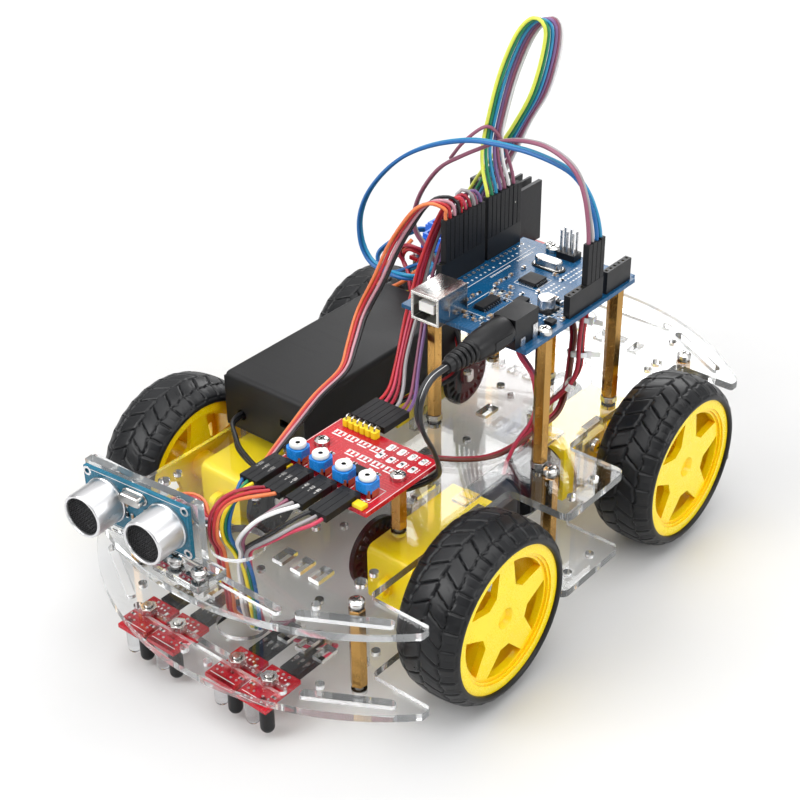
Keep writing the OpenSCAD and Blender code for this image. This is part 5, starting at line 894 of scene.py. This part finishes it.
for a_, b_ in (((-22, -9.5), (22, -9.3)), ((-22, 9.3), (22, 9.5))): mb.box(0.0, a_[0], a_[1], 0.03, b_[0], b_[1], 3, T)
for i in range(4): mb.box(0.0, -4.6 + 2.54 * i, -6.6, 0.03, -3.2 + 2.54 * i, -6.0, 3, T)
mb.make("distance_board_parts", "chassis", [M["solder"], M["ceramic"], M["epoxy"], M["silk"]], sharp=30)

# ------------------------------------------------------------------ line sensor dressing
mb = MB()
for y in (-28.5, -14, 14, 28.5):
    for k in (-1, 0, 1):
        mb.box(105.8, y + 2.54 * k - 0.32, 13.0, 109.2, y + 2.54 * k + 0.32, 13.35, 0)
        mb.lathe([(0.6, 0), (0.5, 0.12), (0.3, 0.6)], 12, 0, Matrix.Translation((108.9, y + 2.54 * k, 15)))
    smd(mb, 112.0, y - 4.6, 15, "r", 0); smd(mb, 112.0, y + 4.6, 15, "c", 0); smd(mb, 118.6, y - 4.9, 15, "r", 90); smd(mb, 119.2, y + 5.2, 15, "r", 90)
    for dx, dy in ((0, 2), (0, 4.4), (0, -2), (0, -4.4)):
        mb.lathe([(0.5, 0), (0.42, 0.1), (0.25, 0.5)], 12, 0, Matrix.Translation((120.8, y + dy, 15)))
    mb.box(122.6, y - 5.6, 15, 122.8, y + 5.6, 15.03, 1); dash_row(mb, 110.6, y - 2.4, 15.0, 4, 1.6, "y", 0.7, int(y) + 90, 1.0, 1)
mb.make("line_board_parts", "chassis", [M["solder"], M["silk"], M["epoxy"], M["led"], M["ceramic"]], sharp=30)

# ------------------------------------------------------------------ stage
floor = bpy.data.meshes.new("floor"); floor.from_pydata([(-6, -6, -0.0152), (6, -6, -0.0152), (6, 6, -0.0152), (-6, 6, -0.0152)], [], [(0, 1, 2, 3)])
fm = bpy.data.materials.new("studio_floor"); nt, n, L = nodes_of(fm)
out = n.new("ShaderNodeOutputMaterial"); p = n.new("ShaderNodeBsdfPrincipled")
L.new(mixc(nt, ramp(nt, noise(nt, 60, 3), 0.3, 0.7), (0.64, 0.64, 0.64), (0.655, 0.655, 0.655)), p.inputs["Base Color"]); p.inputs["Roughness"].default_value = 0.75; p.inputs["Specular IOR Level"].default_value = 0.12
L.new(bump(nt, noise(nt, 1.2, 2), 0.01, 0.2), p.inputs["Normal"]); L.new(p.outputs[0], out.inputs[0])
# the backdrop stays pale where the soft boxes no longer reach
far = n.new("ShaderNodeNewGeometry"); ln = n.new("ShaderNodeVectorMath"); ln.operation = "LENGTH"; L.new(far.outputs["Position"], ln.inputs[0])
p.inputs["Emission Color"].default_value = (1, 1, 1, 1); L.new(ramp(nt, ln.outputs["Value"], 0.3, 1.0, 0.0, 0.6), p.inputs["Emission Strength"])
floor.materials.append(fm)
fo = bpy.data.objects.new("floor", floor); bpy.context.scene.collection.objects.link(fo)


def softbox(name, loc, target, sx, sy, watts, col=(1, 1, 1), spread=None):
    l = bpy.data.lights.new(name, "AREA"); l.shape = "RECTANGLE"; l.size = sx; l.size_y = sy; l.energy = watts; l.color = col
    if spread: l.spread = math.radians(spread)
    o = bpy.data.objects.new(name, l); o.location = loc
    o.rotation_euler = (Vector(target) - Vector(loc)).to_track_quat("-Z", "Y").to_euler()
    bpy.context.scene.collection.objects.link(o)
    return o


softbox("top_box", (0.05, 0.05, 1.15), (0, 0, 0), 1.3, 1.3, 12.2)
softbox("key_box", (0.9, -0.5, 0.85), (0, 0, 0.04), 0.7, 0.7, 9)
softbox("left_box", (-0.1, 1.2, 0.55), (0, 0, 0.04), 0.9, 0.5, 6)
softbox("back_box", (-1.1, -0.5, 0.7), (0, 0, 0.06), 0.8, 0.6, 6)

w = bpy.data.worlds.new("studio"); bpy.context.scene.world = w; w.use_nodes = True
nt = w.node_tree; nt.nodes.clear()
out = nt.nodes.new("ShaderNodeOutputWorld"); bg = nt.nodes.new("ShaderNodeBackground"); bg2 = nt.nodes.new("ShaderNodeBackground"); mx = nt.nodes.new("ShaderNodeMixShader"); lp = nt.nodes.new("ShaderNodeLightPath")
tc = nt.nodes.new("ShaderNodeTexCoord"); sp = nt.nodes.new("ShaderNodeSeparateXYZ"); nt.links.new(tc.outputs["Generated"], sp.inputs[0])
cr = nt.nodes.new("ShaderNodeValToRGB"); nt.links.new(math_(nt, "MULTIPLY_ADD", sp.outputs[2], 0.5, 0.5), cr.inputs[0])
el = cr.color_ramp.elements; el[0].position = 0.0; el[0].color = (0.75, 0.75, 0.75, 1); el[1].position = 1.0; el[1].color = (1, 1, 1, 1)
for pos, c_ in ((0.44, 0.6), (0.5, 0.16), (0.58, 0.3), (0.68, 0.85), (0.8, 1.0)):
    e_ = cr.color_ramp.elements.new(pos); e_.color = (c_, c_, c_ * 1.01, 1)
ang = math_(nt, "ARCTAN2", sp.outputs[1], sp.outputs[0])
band = ramp(nt, math_(nt, "SINE", math_(nt, "MULTIPLY_ADD", ang, 3.0, 0.6)), -0.35, 0.5, 0.35, 1.15, True)
nt.links.new(mixc(nt, 1.0, cr.outputs[0], band, "MULTIPLY"), bg2.inputs[0]); bg2.inputs[1].default_value = 0.8
bg.inputs[0].default_value = (1, 1, 1, 1); nt.links.new(math_(nt, "MULTIPLY_ADD", math_(nt, "MAXIMUM", lp.outputs["Is Camera Ray"], lp.outputs["Is Transmission Ray"]), 0.46, 0.46), bg.inputs[1])
nt.links.new(lp.outputs["Is Glossy Ray"], mx.inputs[0]); nt.links.new(bg.outputs[0], mx.inputs[1]); nt.links.new(bg2.outputs[0], mx.inputs[2]); nt.links.new(mx.outputs[0], out.inputs[0])

bpy.context.scene.view_settings.view_transform = "Standard"
bpy.context.scene.view_settings.look = "None"
bpy.context.scene.view_settings.exposure = 0.0

az, el_, roll = math.radians(129.96), math.radians(31.86), math.radians(-0.69)
back = Vector((math.sin(az) * math.cos(el_), -math.cos(az) * math.cos(el_), math.sin(el_)))
right = (-back).cross(Vector((0, 0, 1))).normalized(); up = right.cross(-back)
cx_, cy_ = right * math.cos(roll) + up * math.sin(roll), -right * math.sin(roll) + up * math.cos(roll)
cam = bpy.data.cameras.new("camera"); co = bpy.data.objects.new("camera", cam); bpy.context.scene.collection.objects.link(co)
mt = Matrix.Identity(4)
for i in range(3): mt[i][0], mt[i][1], mt[i][2] = cx_[i], cy_[i], back[i]
mt[0][3], mt[1][3], mt[2][3] = 0.3974, 0.3216, 0.3615
co.matrix_world = mt
cam.sensor_width = 36; cam.lens = 1635.4 / 800 * 36; cam.clip_start = 0.01
bpy.context.scene.camera = co
